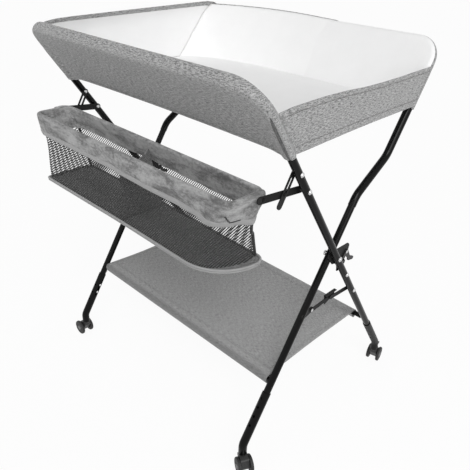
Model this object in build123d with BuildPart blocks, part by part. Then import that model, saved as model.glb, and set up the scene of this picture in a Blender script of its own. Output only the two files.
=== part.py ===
# Folding changing table on casters: two crossed tube frames, a fabric tray, a folding basket and a shelf.
# Millimetres, +Z up, origin on the floor under the middle. The basket side is the front (-Y).
import os
from math import asin, atan2, cos, degrees, hypot, radians, sin, tan

from build123d import *

os.makedirs("parts", exist_ok=True)
sides = (("left", -1), ("right", 1))
standing = (Align.CENTER, Align.CENTER, Align.MIN)

# Crossed frames
crossHeight = 518
crossY = -14.3          # sets the middle of the whole table over the origin
outerX = 380            # tube axes of the outer frame, and how far inside them the inner ones stand
frameGap = 22
innerX = outerX - frameGap
outerSlope = 34.3       # from the vertical, the top towards the front
innerSlope = 32.3       # the top towards the back
middleSlope = 58        # run between the inner frame's two bends
upperSlope = 33.3       # inner frame above the bends
highBendHeight = 721
bendRise = 71           # from the inner frame's lower bend to its upper one
lowBendHeight = highBendHeight - bendRise
railHeight = 972
outerCorner = 66        # bend radii on the tube axis
innerCorner = 50
sideBend = 60
tubeRadius = 9
tubeWall = 1.5
socketRadius = 10       # inner frame's upper tube, which sleeves over the lower one
socketDepth = 28
spigotDrop = 154.6      # joint of the outer leg and its top tube, down the leg from the rail
fit = 0.05              # radial clearance of pins and spigots
clear = 0.3             # gap between faces that move or lie side by side

# Telescopic feet
mouthDepth = 374        # sleeve mouth below the crossing, along the inner leg
outerMouthDepth = 385.5
footBendHeight = 78     # the sleeve's bend above the floor
sleeveRadius = 11
sleeveBore = 9.3
footBend = 30
footBottom = 52
legOverlap = 34
holeRadius = 3.5
holeFirst = 16          # first height hole below the mouth
holePitch = 25
holeCount = 4
slotWidth = 7.6         # passes the shelf bar's stud when the leg is lowered
slotLength = 75
buttonRadius = 3
buttonReach = 3
buttonAbove = 9         # button above the mouth
buttonFlange = 4.5
buttonFlangeThick = 1.2
buttonRound = 1

# Casters
wheelRadius = 23
wheelThick = 8
wheelTrack = 31
wheelEdge = 2.5
hubRadius = 9
hubDepth = 1.5
axleRadius = 3
casterTrail = 16
casterTurns = {"front_left": 180, "front_right": -27, "back_left": 75, "back_right": 102}   # trail, from +X
stemRadius = 4
stemLength = 21
bushFlange = 2
hoodGap = 0.6
hoodThroat = 8
hoodHub = 12
hoodTop = 38            # centre of the hood's rear shoulder
hoodShoulder = 7
hoodStep = 1            # the hood's collar inside its sides
brakeHinge = (16, 48.5) # along the trail and above the floor
brakeTip = (38, 50)
brakeWidth = 10
brakeRound = 2.8
brakeTaper = 0.5
brakePin = 1.5
brakeLug = 3

# Shelf
shelfHeight = 229
barRadius = 7
shelfSetback = 12       # cloth's edge inside the inner tubes' axes
shelfFabricHalf = innerX - shelfSetback
shelfHem = 2
studRadius = 3.5

# Tray
sleeveFabric = 2.7      # thickness of the panel's sleeve round a tube
panelThick = 8
panelDrop = 189.6       # panel's lower corners, down the outer leg from the rail
panelArch = 21          # rise of the lower edge's middle above them
trayBottom = 830
trayTop = 842
endThick = 4
footEndTop = 924
headEndTop = 962
headCrown = 23
endLow = 828
lugAlong = 115          # rim lugs, along the arm from its bolt
lugRadius = 5

# Basket and its folding arms
armPivotAlong = 271.2   # arm bolt, up the outer leg from the crossing
armRadius = 56          # arm pin and link bolt are equally far from the arm bolt
armPinAngle = 174       # direction of the arm pin from the arm bolt, from +Y towards +Z
armReach = 125
armWide = 16
armThick = 2.4
linkThick = 2
linkWide = 15
linkGap = 0.8           # from the link to the outer leg
linkFar = outerX - tubeRadius - linkGap
armGap = 0.5            # from the arm to the link
armFar = linkFar - linkThick - armGap
linkTail = 25           # link beyond its pin
slotPlay = 0.4
basketFold = 35
linkPinRadius = 2.5
rimHeight = 760
rimWire = 3
lugGap = 15.3           # rim's end inside the arm
rimHalf = armFar - armThick - lugGap
rimReach = 341          # front rim ahead of the crossing
rimDepth = 92
rimCorner = 18
basketBottom = 587
rimTaper = 18           # base's end inside the rim's
bottomHalf = rimHalf - rimTaper
bottomReach = 342
bottomDepth = 127
bottomCorner = 35
wallThick = 3
baseThick = 4
dividerThick = 3
hemThick = 2
dividerDrop = 12        # divider's top below the rim

# Crossing plates and latches, measured from the crossing
plateGap = 0.1          # from the inner leg to its plate
plateNear = innerX + tubeRadius + plateGap
plateThick = 2.4
plateNose = (-11, 5)
plateTail = (57, 4)
plateFoot = (29, -45)
plateRound = 9.5
plateWaist = 26         # radius of the hollow under the plate
plateWaistDrop = 4
boltRadius = 4
headRadius = 6.5
headThick = 3.5
headRim = 0.4           # share of a head that is straight before its dome
headFace = 0.55         # share of a head's radius that its flat top keeps
nutThick = 4.5
rivetRadius = 2.5
rivetHead = 4.5
rivetThick = 1.6
boltHead = 5.5          # domed heads on the outer legs
latchPivot = (54, -8)
latchPin = (38, -28)
latchKnee = (70, -33)
latchTip = (85, -38)
latchBoss = 6.5
latchThick = 3
latchLift = 14
catchThick = 3
catchRound = 8
catchDrop = 2           # catch's lobe below the latch pin
coverBolt = 78          # catch bolt, down the outer leg from the crossing

# Folding brace below the crossing
braceEar = (-60, -132)
braceDrop = 163.5       # rear pivot, down the outer leg from the crossing
braceLink = 76.2
braceWide = 12
braceThick = 2
earSink = 2             # ear's outer face inside the tube's side
earFar = innerX + tubeRadius - earSink
earThick = 3
earRound = 8
coverThick = 2
coverRise = 11
coverHalf = 22
coverSkew = 0.8         # slant of the cover's lower front corner
coverGap = 0.9          # between the two links, where the cover's edge passes


def leaning(y, z, slope):
    # A plane across the table that leans back by its slope; its normal faces the front
    lean = radians(slope)
    return Plane(origin=(0, y, z), x_dir=(1, 0, 0), z_dir=(0, -cos(lean), sin(lean)))


lowBendY = crossY + (lowBendHeight - crossHeight) * tan(radians(innerSlope))
highBendY = lowBendY + (highBendHeight - lowBendHeight) * tan(radians(middleSlope))
outerPlane = leaning(crossY, crossHeight, -outerSlope)
innerPlane = leaning(crossY, crossHeight, innerSlope)
upperPlane = leaning(highBendY, highBendHeight, upperSlope)


def rise(height, slope):
    # Distance up a leg from the crossing at a height above the floor
    return (height - crossHeight) / cos(radians(slope))


def across(plane, x, along):
    # The plane square to a leg at a distance up it; its y direction faces the back
    return Plane(origin=plane.from_local_coords((x, along, 0)), x_dir=(1, 0, 0), z_dir=plane.y_dir)


def onLeg(plane, along):
    # The (y, z) place of a point on a leg's axis
    point = plane.from_local_coords((0, along, 0))
    return (point.Y, point.Z)


def fromCross(offset):
    return (crossY + offset[0], crossHeight + offset[1])


def toward(start, end, distance):
    # The (y, z) point at a distance from start on the way to end
    share = distance / hypot(end[0] - start[0], end[1] - start[1])
    return (start[0] + share * (end[0] - start[0]), start[1] + share * (end[1] - start[1]))


def swung(point, centre, angle):
    # The (y, z) point turned about a centre, from +Y towards +Z
    turn = radians(angle)
    y, z = point[0] - centre[0], point[1] - centre[1]
    return (centre[0] + y * cos(turn) - z * sin(turn), centre[1] + y * sin(turn) + z * cos(turn))


def pin(sign, point, near, far, radius, mode=Mode.ADD):
    # A round pin along X on one side of the table
    with Locations(Plane(origin=(sign * near, point[0], point[1]), z_dir=(sign, 0, 0))):
        Cylinder(radius, far - near, align=standing, mode=mode)


def head(sign, point, seat, radius, thick):
    # A domed bolt head outside its seat; a negative thickness puts it inside
    facing = sign if thick > 0 else -sign
    rim = abs(thick) * headRim
    with Locations(Plane(origin=(sign * seat, point[0], point[1]), z_dir=(facing, 0, 0))):
        Cylinder(radius, rim, align=standing)
    with Locations(Plane(origin=(sign * seat + facing * rim, point[0], point[1]), z_dir=(facing, 0, 0))):
        Cone(radius, radius * headFace, abs(thick) - rim, align=standing)


def beside(sign, x):
    # The upright plane along a side at a distance from the middle, facing out; sketch x is +Y on the right
    return Plane(origin=(sign * x, 0, 0), x_dir=(0, sign, 0), z_dir=(sign, 0, 0))


def flat(sign, point):
    # A (y, z) point in the sketch coordinates of beside()
    return (sign * point[0], point[1])


def archPath(plane, half, low, high, corner):
    # The axis of a tube or a sleeve that goes up one leg, across and down the other
    with BuildLine(plane) as path:
        FilletPolyline((-half, low), (-half, high), (half, high), (half, low), radius=corner)
    return path.line


def save(piece, name):
    piece.part.label = name
    export_step(piece.part, f"parts/{name}.step")


rimFront, bottomFront = crossY - rimReach, crossY - bottomReach
rimBack, bottomBack = rimFront + rimDepth, bottomFront + bottomDepth
outerRail = rise(railHeight, outerSlope)
spigotAlong = outerRail - spigotDrop
panelDip = outerRail - panelDrop
panelLow = panelDip + panelArch
backLow = (trayBottom - highBendHeight) / cos(radians(upperSlope))
innerRail = (railHeight - highBendHeight) / cos(radians(upperSlope))
armPivot = onLeg(outerPlane, armPivotAlong)
linkPivot = onLeg(outerPlane, armPivotAlong + armRadius)
armPin = swung((armPivot[0] + armRadius, armPivot[1]), armPivot, armPinAngle)
armEnd = toward(armPivot, armPin, armReach)
bracePivot = onLeg(outerPlane, -braceDrop)
ear = fromCross(braceEar)
halfSpan = hypot(bracePivot[0] - ear[0], bracePivot[1] - ear[1]) / 2
kneeAngle = degrees(asin((braceLink**2 - halfSpan**2) ** 0.5 / braceLink))
spanAngle = degrees(atan2(bracePivot[1] - ear[1], bracePivot[0] - ear[0]))
knee = swung((ear[0] + braceLink, ear[1]), ear, spanAngle + kneeAngle)
shelfFront = rise(shelfHeight, innerSlope)
shelfBack = rise(shelfHeight, outerSlope)

# Outer frame: two straight legs, spigoted into one bent top tube
outerLegEnd = -outerMouthDepth - legOverlap
for side, sign in sides:
    with BuildPart() as outerLeg:
        with BuildSketch(across(outerPlane, sign * outerX, outerLegEnd)):
            Circle(tubeRadius)
            Circle(tubeRadius - tubeWall, mode=Mode.SUBTRACT)
        extrude(amount=spigotAlong - outerLegEnd)
        with BuildSketch(across(outerPlane, sign * outerX, spigotAlong - tubeRadius)):
            Circle(tubeRadius - tubeWall)
            Circle(tubeRadius - 2 * tubeWall, mode=Mode.SUBTRACT)
        extrude(amount=3 * tubeRadius)
        outerWall = outerX + tubeRadius
        pin(sign, onLeg(outerPlane, 0), outerX - tubeRadius, outerWall, boltRadius + fit, Mode.SUBTRACT)
        for place in (armPivot, linkPivot, bracePivot, onLeg(outerPlane, -coverBolt)):
            pin(sign, place, outerX - tubeRadius, outerWall, rivetRadius + fit, Mode.SUBTRACT)
        pin(sign, onLeg(outerPlane, shelfBack), outerX - tubeRadius, outerX, studRadius + fit, Mode.SUBTRACT)
        buttonPlace = outerPlane.from_local_coords((sign * outerX, buttonAbove - outerMouthDepth, 0))
        with Locations(Plane(origin=buttonPlace, z_dir=-outerPlane.z_dir)):
            Cylinder(buttonRadius + fit, tubeRadius, align=standing, mode=Mode.SUBTRACT)
    save(outerLeg, f"outer_leg_{side}")

with BuildPart() as outerTopTube:
    with BuildSketch(across(outerPlane, -outerX, spigotAlong)):
        Circle(tubeRadius)
        Circle(tubeRadius - tubeWall, mode=Mode.SUBTRACT)
    sweep(path=archPath(outerPlane, outerX, spigotAlong, outerRail, outerCorner))
save(outerTopTube, "outer_top_tube")

# Inner frame: straight lower legs and one upper tube, bent twice at each side and round the rail
innerLegEnd = -mouthDepth - legOverlap
socketAlong = rise(lowBendHeight, innerSlope) - socketDepth
innerLegTop = socketAlong + socketDepth - sideBend * tan(radians(middleSlope - innerSlope) / 2)
for side, sign in sides:
    with BuildPart() as innerLeg:
        with BuildSketch(across(innerPlane, sign * innerX, innerLegEnd)):
            Circle(tubeRadius)
            Circle(tubeRadius - tubeWall, mode=Mode.SUBTRACT)
        extrude(amount=innerLegTop - innerLegEnd)
        nearWall = innerX - tubeRadius
        pin(sign, onLeg(innerPlane, 0), nearWall, innerX + tubeRadius, boltRadius + fit, Mode.SUBTRACT)
        pin(sign, onLeg(innerPlane, shelfFront), nearWall, innerX, studRadius + fit, Mode.SUBTRACT)
        buttonPlace = innerPlane.from_local_coords((sign * innerX, buttonAbove - mouthDepth, 0))
        with Locations(Plane(origin=buttonPlace, z_dir=-innerPlane.z_dir)):
            Cylinder(buttonRadius + fit, tubeRadius, align=standing, mode=Mode.SUBTRACT)
    save(innerLeg, f"inner_leg_{side}")

socketStart = onLeg(innerPlane, socketAlong)
railPlace = onLeg(upperPlane, innerRail)
bendPlaces = (socketStart, (lowBendY, lowBendHeight), (highBendY, highBendHeight), railPlace)
upperRoute = [(-innerX, y, z) for y, z in bendPlaces] + [(innerX, y, z) for y, z in reversed(bendPlaces)]
with BuildLine() as upperPath:
    FilletPolyline(*upperRoute, radius=(sideBend, sideBend, innerCorner, innerCorner, sideBend, sideBend))
with BuildPart() as innerTopTube:
    with BuildSketch(across(innerPlane, -innerX, socketAlong)):
        Circle(socketRadius)
    sweep(path=upperPath.line)
    with BuildSketch(across(innerPlane, -innerX, socketAlong)):
        Circle(tubeRadius + fit)
    sweep(path=upperPath.line, mode=Mode.SUBTRACT)
save(innerTopTube, "inner_top_tube")

# Bolts of the outer frame: pivots, arm, link, brace and catch
nutSeat = innerX - tubeRadius - clear
with BuildPart() as pivotBolts:
    for side, sign in sides:
        pin(sign, fromCross((0, 0)), nutSeat, outerX + tubeRadius, boltRadius)
        head(sign, fromCross((0, 0)), outerX + tubeRadius, headRadius, headThick)
        pin(sign, fromCross((0, 0)), nutSeat - nutThick, nutSeat, headRadius)
save(pivotBolts, "pivot_bolts")

armNear = armFar - armThick
linkNear = linkFar - linkThick
with BuildPart() as outerBolts:
    for side, sign in sides:
        pin(sign, armPivot, armNear - clear, outerX + tubeRadius, rivetRadius)
        pin(sign, armPivot, armFar + clear, outerX - tubeRadius, rivetHead)
        head(sign, armPivot, armNear - clear, rivetHead, -rivetThick)
        pin(sign, linkPivot, linkNear - clear, outerX + tubeRadius, rivetRadius)
        head(sign, linkPivot, linkNear - clear, rivetHead, -rivetThick)
        for place in (bracePivot, onLeg(outerPlane, -coverBolt)):
            pin(sign, place, outerX - tubeRadius, outerX + tubeRadius, rivetRadius)
        for place in (armPivot, linkPivot, bracePivot, onLeg(outerPlane, -coverBolt)):
            head(sign, place, outerX + tubeRadius, boltHead, headThick)
save(outerBolts, "outer_bolts")

# Pivot plates lie between the tubes, fixed to the inner legs
for side, sign in sides:
    with BuildPart() as pivotPlate:
        with BuildSketch(beside(sign, plateNear)):
            for place in (plateNose, plateTail, plateFoot, latchPivot):
                with Locations(flat(sign, fromCross(place))):
                    Circle(plateRound)
            make_hull()
            waist = (plateFoot[0] - plateWaist - plateRound / 2, plateFoot[1] - plateWaistDrop)
            with Locations(flat(sign, fromCross(waist))):
                Circle(plateWaist, mode=Mode.SUBTRACT)
            with Locations(flat(sign, fromCross((0, 0)))):
                Circle(boltRadius + fit, mode=Mode.SUBTRACT)
            with Locations(flat(sign, fromCross(latchPivot))):
                Circle(rivetRadius + fit, mode=Mode.SUBTRACT)
        extrude(amount=plateThick)
    save(pivotPlate, f"pivot_plate_{side}")

# Latch: a lever on the plate drops its pin into an open notch of a catch behind the outer leg
latchNear = plateNear + plateThick + clear
catchNear = latchNear + latchThick + clear
braceNear = earFar + clear
rearNear = braceNear + braceThick + coverGap
foldWay = swung(latchPin, (0, 0), 90)
liftWay = swung(latchPin, latchPivot, -90)
liftPlace = (latchPin[0] + liftWay[0] - latchPivot[0], latchPin[1] + liftWay[1] - latchPivot[1])
foldExit = toward(latchPin, (latchPin[0] + foldWay[0], latchPin[1] + foldWay[1]), latchLift)
liftExit = toward(latchPin, liftPlace, latchLift)
with BuildPart() as innerRivets:
    for side, sign in sides:
        pin(sign, fromCross(latchPivot), plateNear, latchNear + latchThick + clear, rivetRadius)
        head(sign, fromCross(latchPivot), latchNear + latchThick + clear, rivetHead, rivetThick)
        pin(sign, ear, earFar - earThick, braceNear + braceThick + clear, rivetRadius)
        head(sign, ear, braceNear + braceThick + clear, rivetHead, rivetThick)
save(innerRivets, "inner_rivets")

for side, sign in sides:
    with BuildPart() as latchLever:
        for ends in ((latchPivot, latchPin), (latchPivot, latchKnee), (latchKnee, latchTip)):
            with BuildSketch(beside(sign, latchNear)):
                for place, radius in zip(ends, (latchBoss, rivetHead)):
                    with Locations(flat(sign, fromCross(place))):
                        Circle(radius)
                make_hull()
            extrude(amount=latchThick)
        pin(sign, fromCross(latchPivot), latchNear, latchNear + latchThick, rivetRadius + fit, Mode.SUBTRACT)
        pin(sign, fromCross(latchPin), latchNear + latchThick, catchNear + catchThick, rivetRadius)
    save(latchLever, f"latch_lever_{side}")

legBeside = onLeg(outerPlane, rise(crossHeight + latchPin[1], outerSlope))
with BuildPart() as latchCatches:
    for side, sign in sides:
        with BuildSketch(beside(sign, catchNear)):
            with Locations(flat(sign, fromCross((latchPin[0], latchPin[1] - catchDrop)))):
                Circle(catchRound)
            with Locations(flat(sign, toward(legBeside, fromCross((0, 0)), -catchRound))):
                Circle(catchRound / 2)
            make_hull()
        extrude(amount=catchThick)
        with BuildSketch(beside(sign, catchNear)):
            for place in (latchPin, foldExit, liftExit):
                with Locations(flat(sign, fromCross(place))):
                    Circle(rivetRadius + clear)
            make_hull()
        extrude(amount=catchThick, mode=Mode.SUBTRACT)
        with BuildSketch(across(outerPlane, sign * outerX, -2 * coverBolt)):
            Circle(tubeRadius)
        extrude(amount=2 * coverBolt, mode=Mode.SUBTRACT)
save(latchCatches, "latch_catches")

# Brace: an ear on each inner leg, two links and a knee cover; the rear link's stub stops at the outer leg
earRoot = onLeg(innerPlane, rise(ear[1], innerSlope))
earRoot = toward(earRoot, fromCross((0, 0)), -earRound)
with BuildPart() as braceEars:
    for side, sign in sides:
        with BuildSketch(beside(sign, earFar - earThick)):
            for place in (ear, earRoot):
                with Locations(flat(sign, place)):
                    Circle(earRound)
            make_hull()
            with Locations(flat(sign, ear)):
                Circle(rivetRadius, mode=Mode.SUBTRACT)
        extrude(amount=earThick)
        with BuildSketch(across(innerPlane, sign * innerX, -3 * braceDrop / 2)):
            Circle(tubeRadius)
        extrude(amount=braceDrop, mode=Mode.SUBTRACT)
save(braceEars, "brace_ears")

for side, sign in sides:
    with BuildPart() as frontLink:
        with BuildSketch(beside(sign, braceNear)):
            for place in (ear, knee):
                with Locations(flat(sign, place)):
                    Circle(braceWide / 2)
            make_hull()
        extrude(amount=braceThick)
        coverTop = knee[1] + coverRise
        with BuildSketch(beside(sign, earFar - earThick)):
            with BuildLine():
                Polyline([flat(sign, point) for point in (
                    (knee[0] - coverHalf, coverTop), (knee[0] + coverHalf, coverTop),
                    (knee[0] + coverHalf, knee[1] - coverRise / 2), (knee[0], knee[1] - coverRise),
                    (knee[0] - coverHalf * coverSkew, knee[1] - coverHalf * coverSkew))], close=True)
            make_face()
        extrude(amount=coverThick)
        with BuildSketch(beside(sign, earFar - earThick)):
            with Locations(flat(sign, (knee[0], coverTop + coverThick / 2))):
                Rectangle(2 * coverHalf, coverThick)
        extrude(amount=rearNear + braceThick - earFar + earThick)
        pin(sign, knee, earFar - earThick + coverThick, braceNear, rivetHead)
        pin(sign, knee, braceNear, rearNear + braceThick, rivetRadius)
        pin(sign, ear, braceNear, braceNear + braceThick, rivetRadius + fit, Mode.SUBTRACT)
    save(frontLink, f"brace_front_link_{side}")

for side, sign in sides:
    with BuildPart() as rearLink:
        with BuildSketch(beside(sign, rearNear)):
            for place in (knee, bracePivot):
                with Locations(flat(sign, place)):
                    Circle(braceWide / 2)
            make_hull()
            with Locations(flat(sign, knee)):
                Circle(rivetRadius + fit, mode=Mode.SUBTRACT)
        extrude(amount=braceThick)
        pin(sign, bracePivot, rearNear + braceThick, outerX - tubeRadius - clear, rivetRadius)
    save(rearLink, f"brace_rear_link_{side}")

# Feet: sleeves that telescope over the legs, height holes through both walls, a sprung button on each leg
footPlaces = []
for end, plane, x, slope, mouth in (("front", innerPlane, innerX, innerSlope, mouthDepth),
                                    ("back", outerPlane, outerX, outerSlope, outerMouthDepth)):
    bendPlace = onLeg(plane, rise(footBendHeight, slope))
    for side, sign in sides:
        name = f"{end}_{side}"
        footPlaces.append((name, sign, sign * x, bendPlace[0]))
        mouthPlace = onLeg(plane, -mouth)
        with BuildLine() as footPath:
            FilletPolyline((sign * x, mouthPlace[0], mouthPlace[1]), (sign * x, bendPlace[0], bendPlace[1]),
                           (sign * x, bendPlace[0], footBottom), radius=footBend)
        with BuildPart() as footSleeve:
            with BuildSketch(across(plane, sign * x, -mouth)):
                Circle(sleeveRadius)
                Circle(sleeveBore, mode=Mode.SUBTRACT)
            sweep(path=footPath.line)
            for count in range(holeCount):
                holePlace = plane.from_local_coords((sign * x, -mouth - holeFirst - count * holePitch, 0))
                with Locations(Plane(origin=holePlace, z_dir=plane.z_dir)):
                    Cylinder(holeRadius, 3 * sleeveRadius, mode=Mode.SUBTRACT)
            slotPlane = Plane(origin=(sign * x, mouthPlace[0], mouthPlace[1]), x_dir=-plane.y_dir,
                              z_dir=(-sign, 0, 0))
            with BuildSketch(slotPlane):
                with Locations((slotLength / 2 - slotWidth, 0)):
                    SlotOverall(slotLength + 2 * slotWidth, slotWidth)
            extrude(amount=2 * sleeveRadius, mode=Mode.SUBTRACT)
        save(footSleeve, f"foot_sleeve_{name}")

        with BuildPart() as footBush:
            with BuildSketch(Plane(origin=(sign * x, bendPlace[0], footBottom - bushFlange))):
                Circle(sleeveRadius)
                Circle(stemRadius + fit, mode=Mode.SUBTRACT)
            extrude(amount=bushFlange)
            with BuildSketch(Plane(origin=(sign * x, bendPlace[0], footBottom))):
                Circle(sleeveBore - fit)
                Circle(stemRadius + fit, mode=Mode.SUBTRACT)
            extrude(amount=bendPlace[1] - footBottom - footBend * tan(radians(slope) / 2))
        save(footBush, f"foot_bush_{name}")

        buttonPlace = plane.from_local_coords((sign * x, buttonAbove - mouth, 0))
        with BuildPart() as heightButton:
            with Locations(Plane(origin=buttonPlace, z_dir=-plane.z_dir)):
                Cylinder(buttonRadius, tubeRadius + buttonReach, align=standing)
            fillet(heightButton.edges().sort_by(SortBy.DISTANCE)[-1], buttonRound)
            with Locations(Plane(origin=buttonPlace, z_dir=-plane.z_dir)):
                Cylinder(buttonFlange, buttonFlangeThick, align=standing)
        save(heightButton, f"height_button_{name}")

        # Caster under the foot: its hood turns on a stem in the bush, and twin wheels turn on one axle
        turn = radians(casterTurns[name])
        trailWay = (cos(turn), sin(turn), 0)
        besideWheel = Plane(origin=(sign * x, bendPlace[0], 0), x_dir=trailWay, z_dir=(sin(turn), -cos(turn), 0))
        hoodCeiling = footBottom - bushFlange - clear
        hoodHalf = wheelTrack / 2 - wheelThick / 2 - hoodGap
        braked = end == "back"
        with BuildPart() as casterHood:
            with BuildSketch(besideWheel):
                with Locations((0, hoodCeiling - hoodThroat)):
                    Circle(hoodThroat)
                with Locations((casterTrail, wheelRadius)):
                    Circle(hoodHub)
                with Locations((casterTrail, hoodTop)):
                    Circle(hoodShoulder)
                make_hull()
            extrude(amount=hoodHalf, both=True)
            with Locations(Plane(origin=(sign * x, bendPlace[0], hoodCeiling - hoodThroat))):
                Cylinder(hoodHalf - hoodStep, hoodThroat, align=standing)
                Cylinder(stemRadius, hoodThroat + bushFlange + stemLength, align=standing)
            if braked:
                for way in (-1, 1):
                    with BuildSketch(besideWheel.offset(way * brakeWidth / 2 + way * clear)):
                        with Locations(brakeHinge):
                            Circle(brakeRound)
                        with Locations((casterTrail, hoodTop)):
                            Circle(brakeRound)
                        make_hull()
                    extrude(amount=way * brakeLug)
                with Locations(besideWheel):
                    with Locations((brakeHinge[0], brakeHinge[1], 0)):
                        Cylinder(brakePin + fit, 2 * hoodHalf, mode=Mode.SUBTRACT)
            with Locations(besideWheel):
                with Locations((casterTrail, wheelRadius, 0)):
                    Cylinder(axleRadius + fit, 2 * hoodHalf, mode=Mode.SUBTRACT)
        save(casterHood, f"caster_hood_{name}")

        with BuildPart() as casterWheels:
            for way in (-1, 1):
                with BuildSketch(besideWheel.offset(way * (wheelTrack - wheelThick) / 2)):
                    with Locations((casterTrail, wheelRadius)):
                        Circle(wheelRadius)
                extrude(amount=way * wheelThick)
            fillet(casterWheels.edges().filter_by(GeomType.CIRCLE), wheelEdge)
            for way in (-1, 1):
                with BuildSketch(besideWheel.offset(way * (wheelTrack + wheelThick) / 2)):
                    with Locations((casterTrail, wheelRadius)):
                        Circle(hubRadius)
                extrude(amount=-way * hubDepth, mode=Mode.SUBTRACT)
            with BuildSketch(besideWheel):
                with Locations((casterTrail, wheelRadius)):
                    Circle(axleRadius)
            extrude(amount=(wheelTrack + wheelThick) / 2, both=True)
        save(casterWheels, f"caster_wheels_{name}")

        if braked:
            with BuildPart() as brakePedal:
                with BuildSketch(besideWheel):
                    with Locations(brakeHinge):
                        Circle(brakeRound)
                    with Locations(brakeTip):
                        Circle(brakeRound - brakeTaper)
                    make_hull()
                extrude(amount=brakeWidth / 2, both=True)
                with BuildSketch(besideWheel):
                    with Locations(brakeHinge):
                        Circle(brakePin)
                extrude(amount=brakeWidth / 2 + clear + brakeLug, both=True)
            save(brakePedal, f"brake_pedal_{side}")

# Shelf: a bar between the legs of each frame, studded into them, and a sheet stitched round both bars
barPlaces = (("front", onLeg(innerPlane, shelfFront), innerX), ("back", onLeg(outerPlane, shelfBack), outerX))
for end, place, x in barPlaces:
    with BuildPart() as shelfBar:
        for side, sign in sides:
            pin(sign, place, 0, x - sleeveRadius - clear, barRadius)
            pin(sign, place, 0, x - tubeRadius + 2 * tubeWall, studRadius)
    save(shelfBar, f"shelf_{end}_bar")

hemRadius = barRadius + clear + shelfHem
with BuildPart() as shelfFabric:
    for end, place, x in barPlaces:
        for side, sign in sides:
            pin(sign, place, 0, shelfFabricHalf, hemRadius)
    sheetFront, sheetBack = barPlaces[0][1][0], barPlaces[1][1][0]
    with BuildSketch(Plane.XY.offset(shelfHeight + hemRadius)):
        with Locations((0, (sheetFront + sheetBack) / 2)):
            Rectangle(2 * shelfFabricHalf, sheetBack - sheetFront)
    extrude(amount=-shelfHem)
    for end, place, x in barPlaces:
        for side, sign in sides:
            pin(sign, place, 0, shelfFabricHalf, barRadius + clear, Mode.SUBTRACT)
save(shelfFabric, "shelf_fabric")

# Tray: front and back panels sleeved over the top tubes, end panels and a padded floor between them
for name, plane, half, corner, radius, top, low, dip in (
        ("front_panel", outerPlane, outerX, outerCorner, tubeRadius, outerRail, panelLow, panelDip),
        ("back_panel", upperPlane, innerX, innerCorner, socketRadius, innerRail, backLow, backLow - panelThick)):
    arch = archPath(plane, half, dip, top, corner)
    with BuildPart() as trayPanel:
        with BuildSketch(across(plane, -half, dip)):
            Circle(radius + clear + sleeveFabric)
        sweep(path=arch)
        with BuildSketch(plane):
            with BuildLine():
                FilletPolyline((-half, dip), (-half, top), (half, top), (half, dip), radius=corner)
                ThreePointArc((half, dip), (0, low), (-half, dip))
            make_face()
        extrude(amount=panelThick / 2, both=True)
        with BuildSketch(across(plane, -half, dip)):
            Circle(radius + clear)
        sweep(path=arch, mode=Mode.SUBTRACT)
    save(trayPanel, name)

frontSleeve = tubeRadius + clear + sleeveFabric
backSleeve = socketRadius + clear + sleeveFabric


def frontLine(height, offset):
    # y of a line parallel to the outer legs, offset square to them towards the back
    lean = radians(outerSlope)
    return crossY - (height - crossHeight) * tan(lean) + offset / cos(lean)


def backLine(height, offset):
    lean = radians(upperSlope)
    return highBendY + (height - highBendHeight) * tan(lean) + offset / cos(lean)


endNear = innerX + backSleeve + clear
for side, sign, top, crown in (("left", -1, headEndTop, headCrown), ("right", 1, footEndTop, 0)):
    frontEdge = frontSleeve + clear
    corners = [(frontLine(endLow, frontEdge), endLow), (frontLine(top, frontEdge), top),
               (backLine(top, backSleeve), top), (backLine(endLow, backSleeve), endLow)]
    crownPlace = ((corners[1][0] + corners[2][0]) / 2, top + crown)
    with BuildPart() as endPanel:
        with BuildSketch(beside(sign, endNear)):
            with BuildLine():
                Polyline([flat(sign, corners[2]), flat(sign, corners[3]), flat(sign, corners[0]),
                          flat(sign, corners[1])])
                if crown:
                    ThreePointArc(flat(sign, corners[1]), flat(sign, crownPlace), flat(sign, corners[2]))
                else:
                    Line(flat(sign, corners[1]), flat(sign, corners[2]))
            make_face()
        extrude(amount=endThick)
    save(endPanel, f"end_panel_{side}")

floorFront = frontLine(trayBottom, panelThick / 2 + clear)
floorBack = backLine(trayBottom, -panelThick / 2 - clear)
cornerFront = frontLine(trayBottom, frontSleeve + clear)
cornerBack = backLine(trayBottom, -backSleeve - clear)
with BuildPart() as trayFloor:
    with BuildSketch(Plane.XY.offset(trayBottom)):
        for half, front, back in ((endNear, cornerFront, cornerBack),
                                  (innerX - backSleeve - clear, floorFront, floorBack),
                                  (outerX - frontSleeve - clear, floorFront, cornerBack)):
            with Locations((0, (front + back) / 2)):
                Rectangle(2 * half, back - front)
    extrude(amount=trayTop - trayBottom)
save(trayFloor, "tray_floor")

# Basket: a wire rim on two folding arms, fabric walls hemmed round the wire, a base and a divider
lugPlace = toward(armPivot, armPin, lugAlong)
rimTurns = ((0, rimFront), (1, rimFront), (1, rimBack), (-1, rimBack), (-1, rimFront))
rimCorners = [(x * rimHalf, y, rimHeight) for x, y in rimTurns]
with BuildLine() as rimPath:
    FilletPolyline(*rimCorners, radius=(0, rimCorner, rimCorner, rimCorner, rimCorner), close=True)
with BuildPart() as rimLoop:
    with BuildSketch(Plane(origin=rimCorners[0], z_dir=(1, 0, 0))):
        Circle(rimWire)
    sweep(path=rimPath.line)
    for side, sign in sides:
        pin(sign, lugPlace, rimHalf, armNear, lugRadius)
save(rimLoop, "rim_wire")

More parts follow.
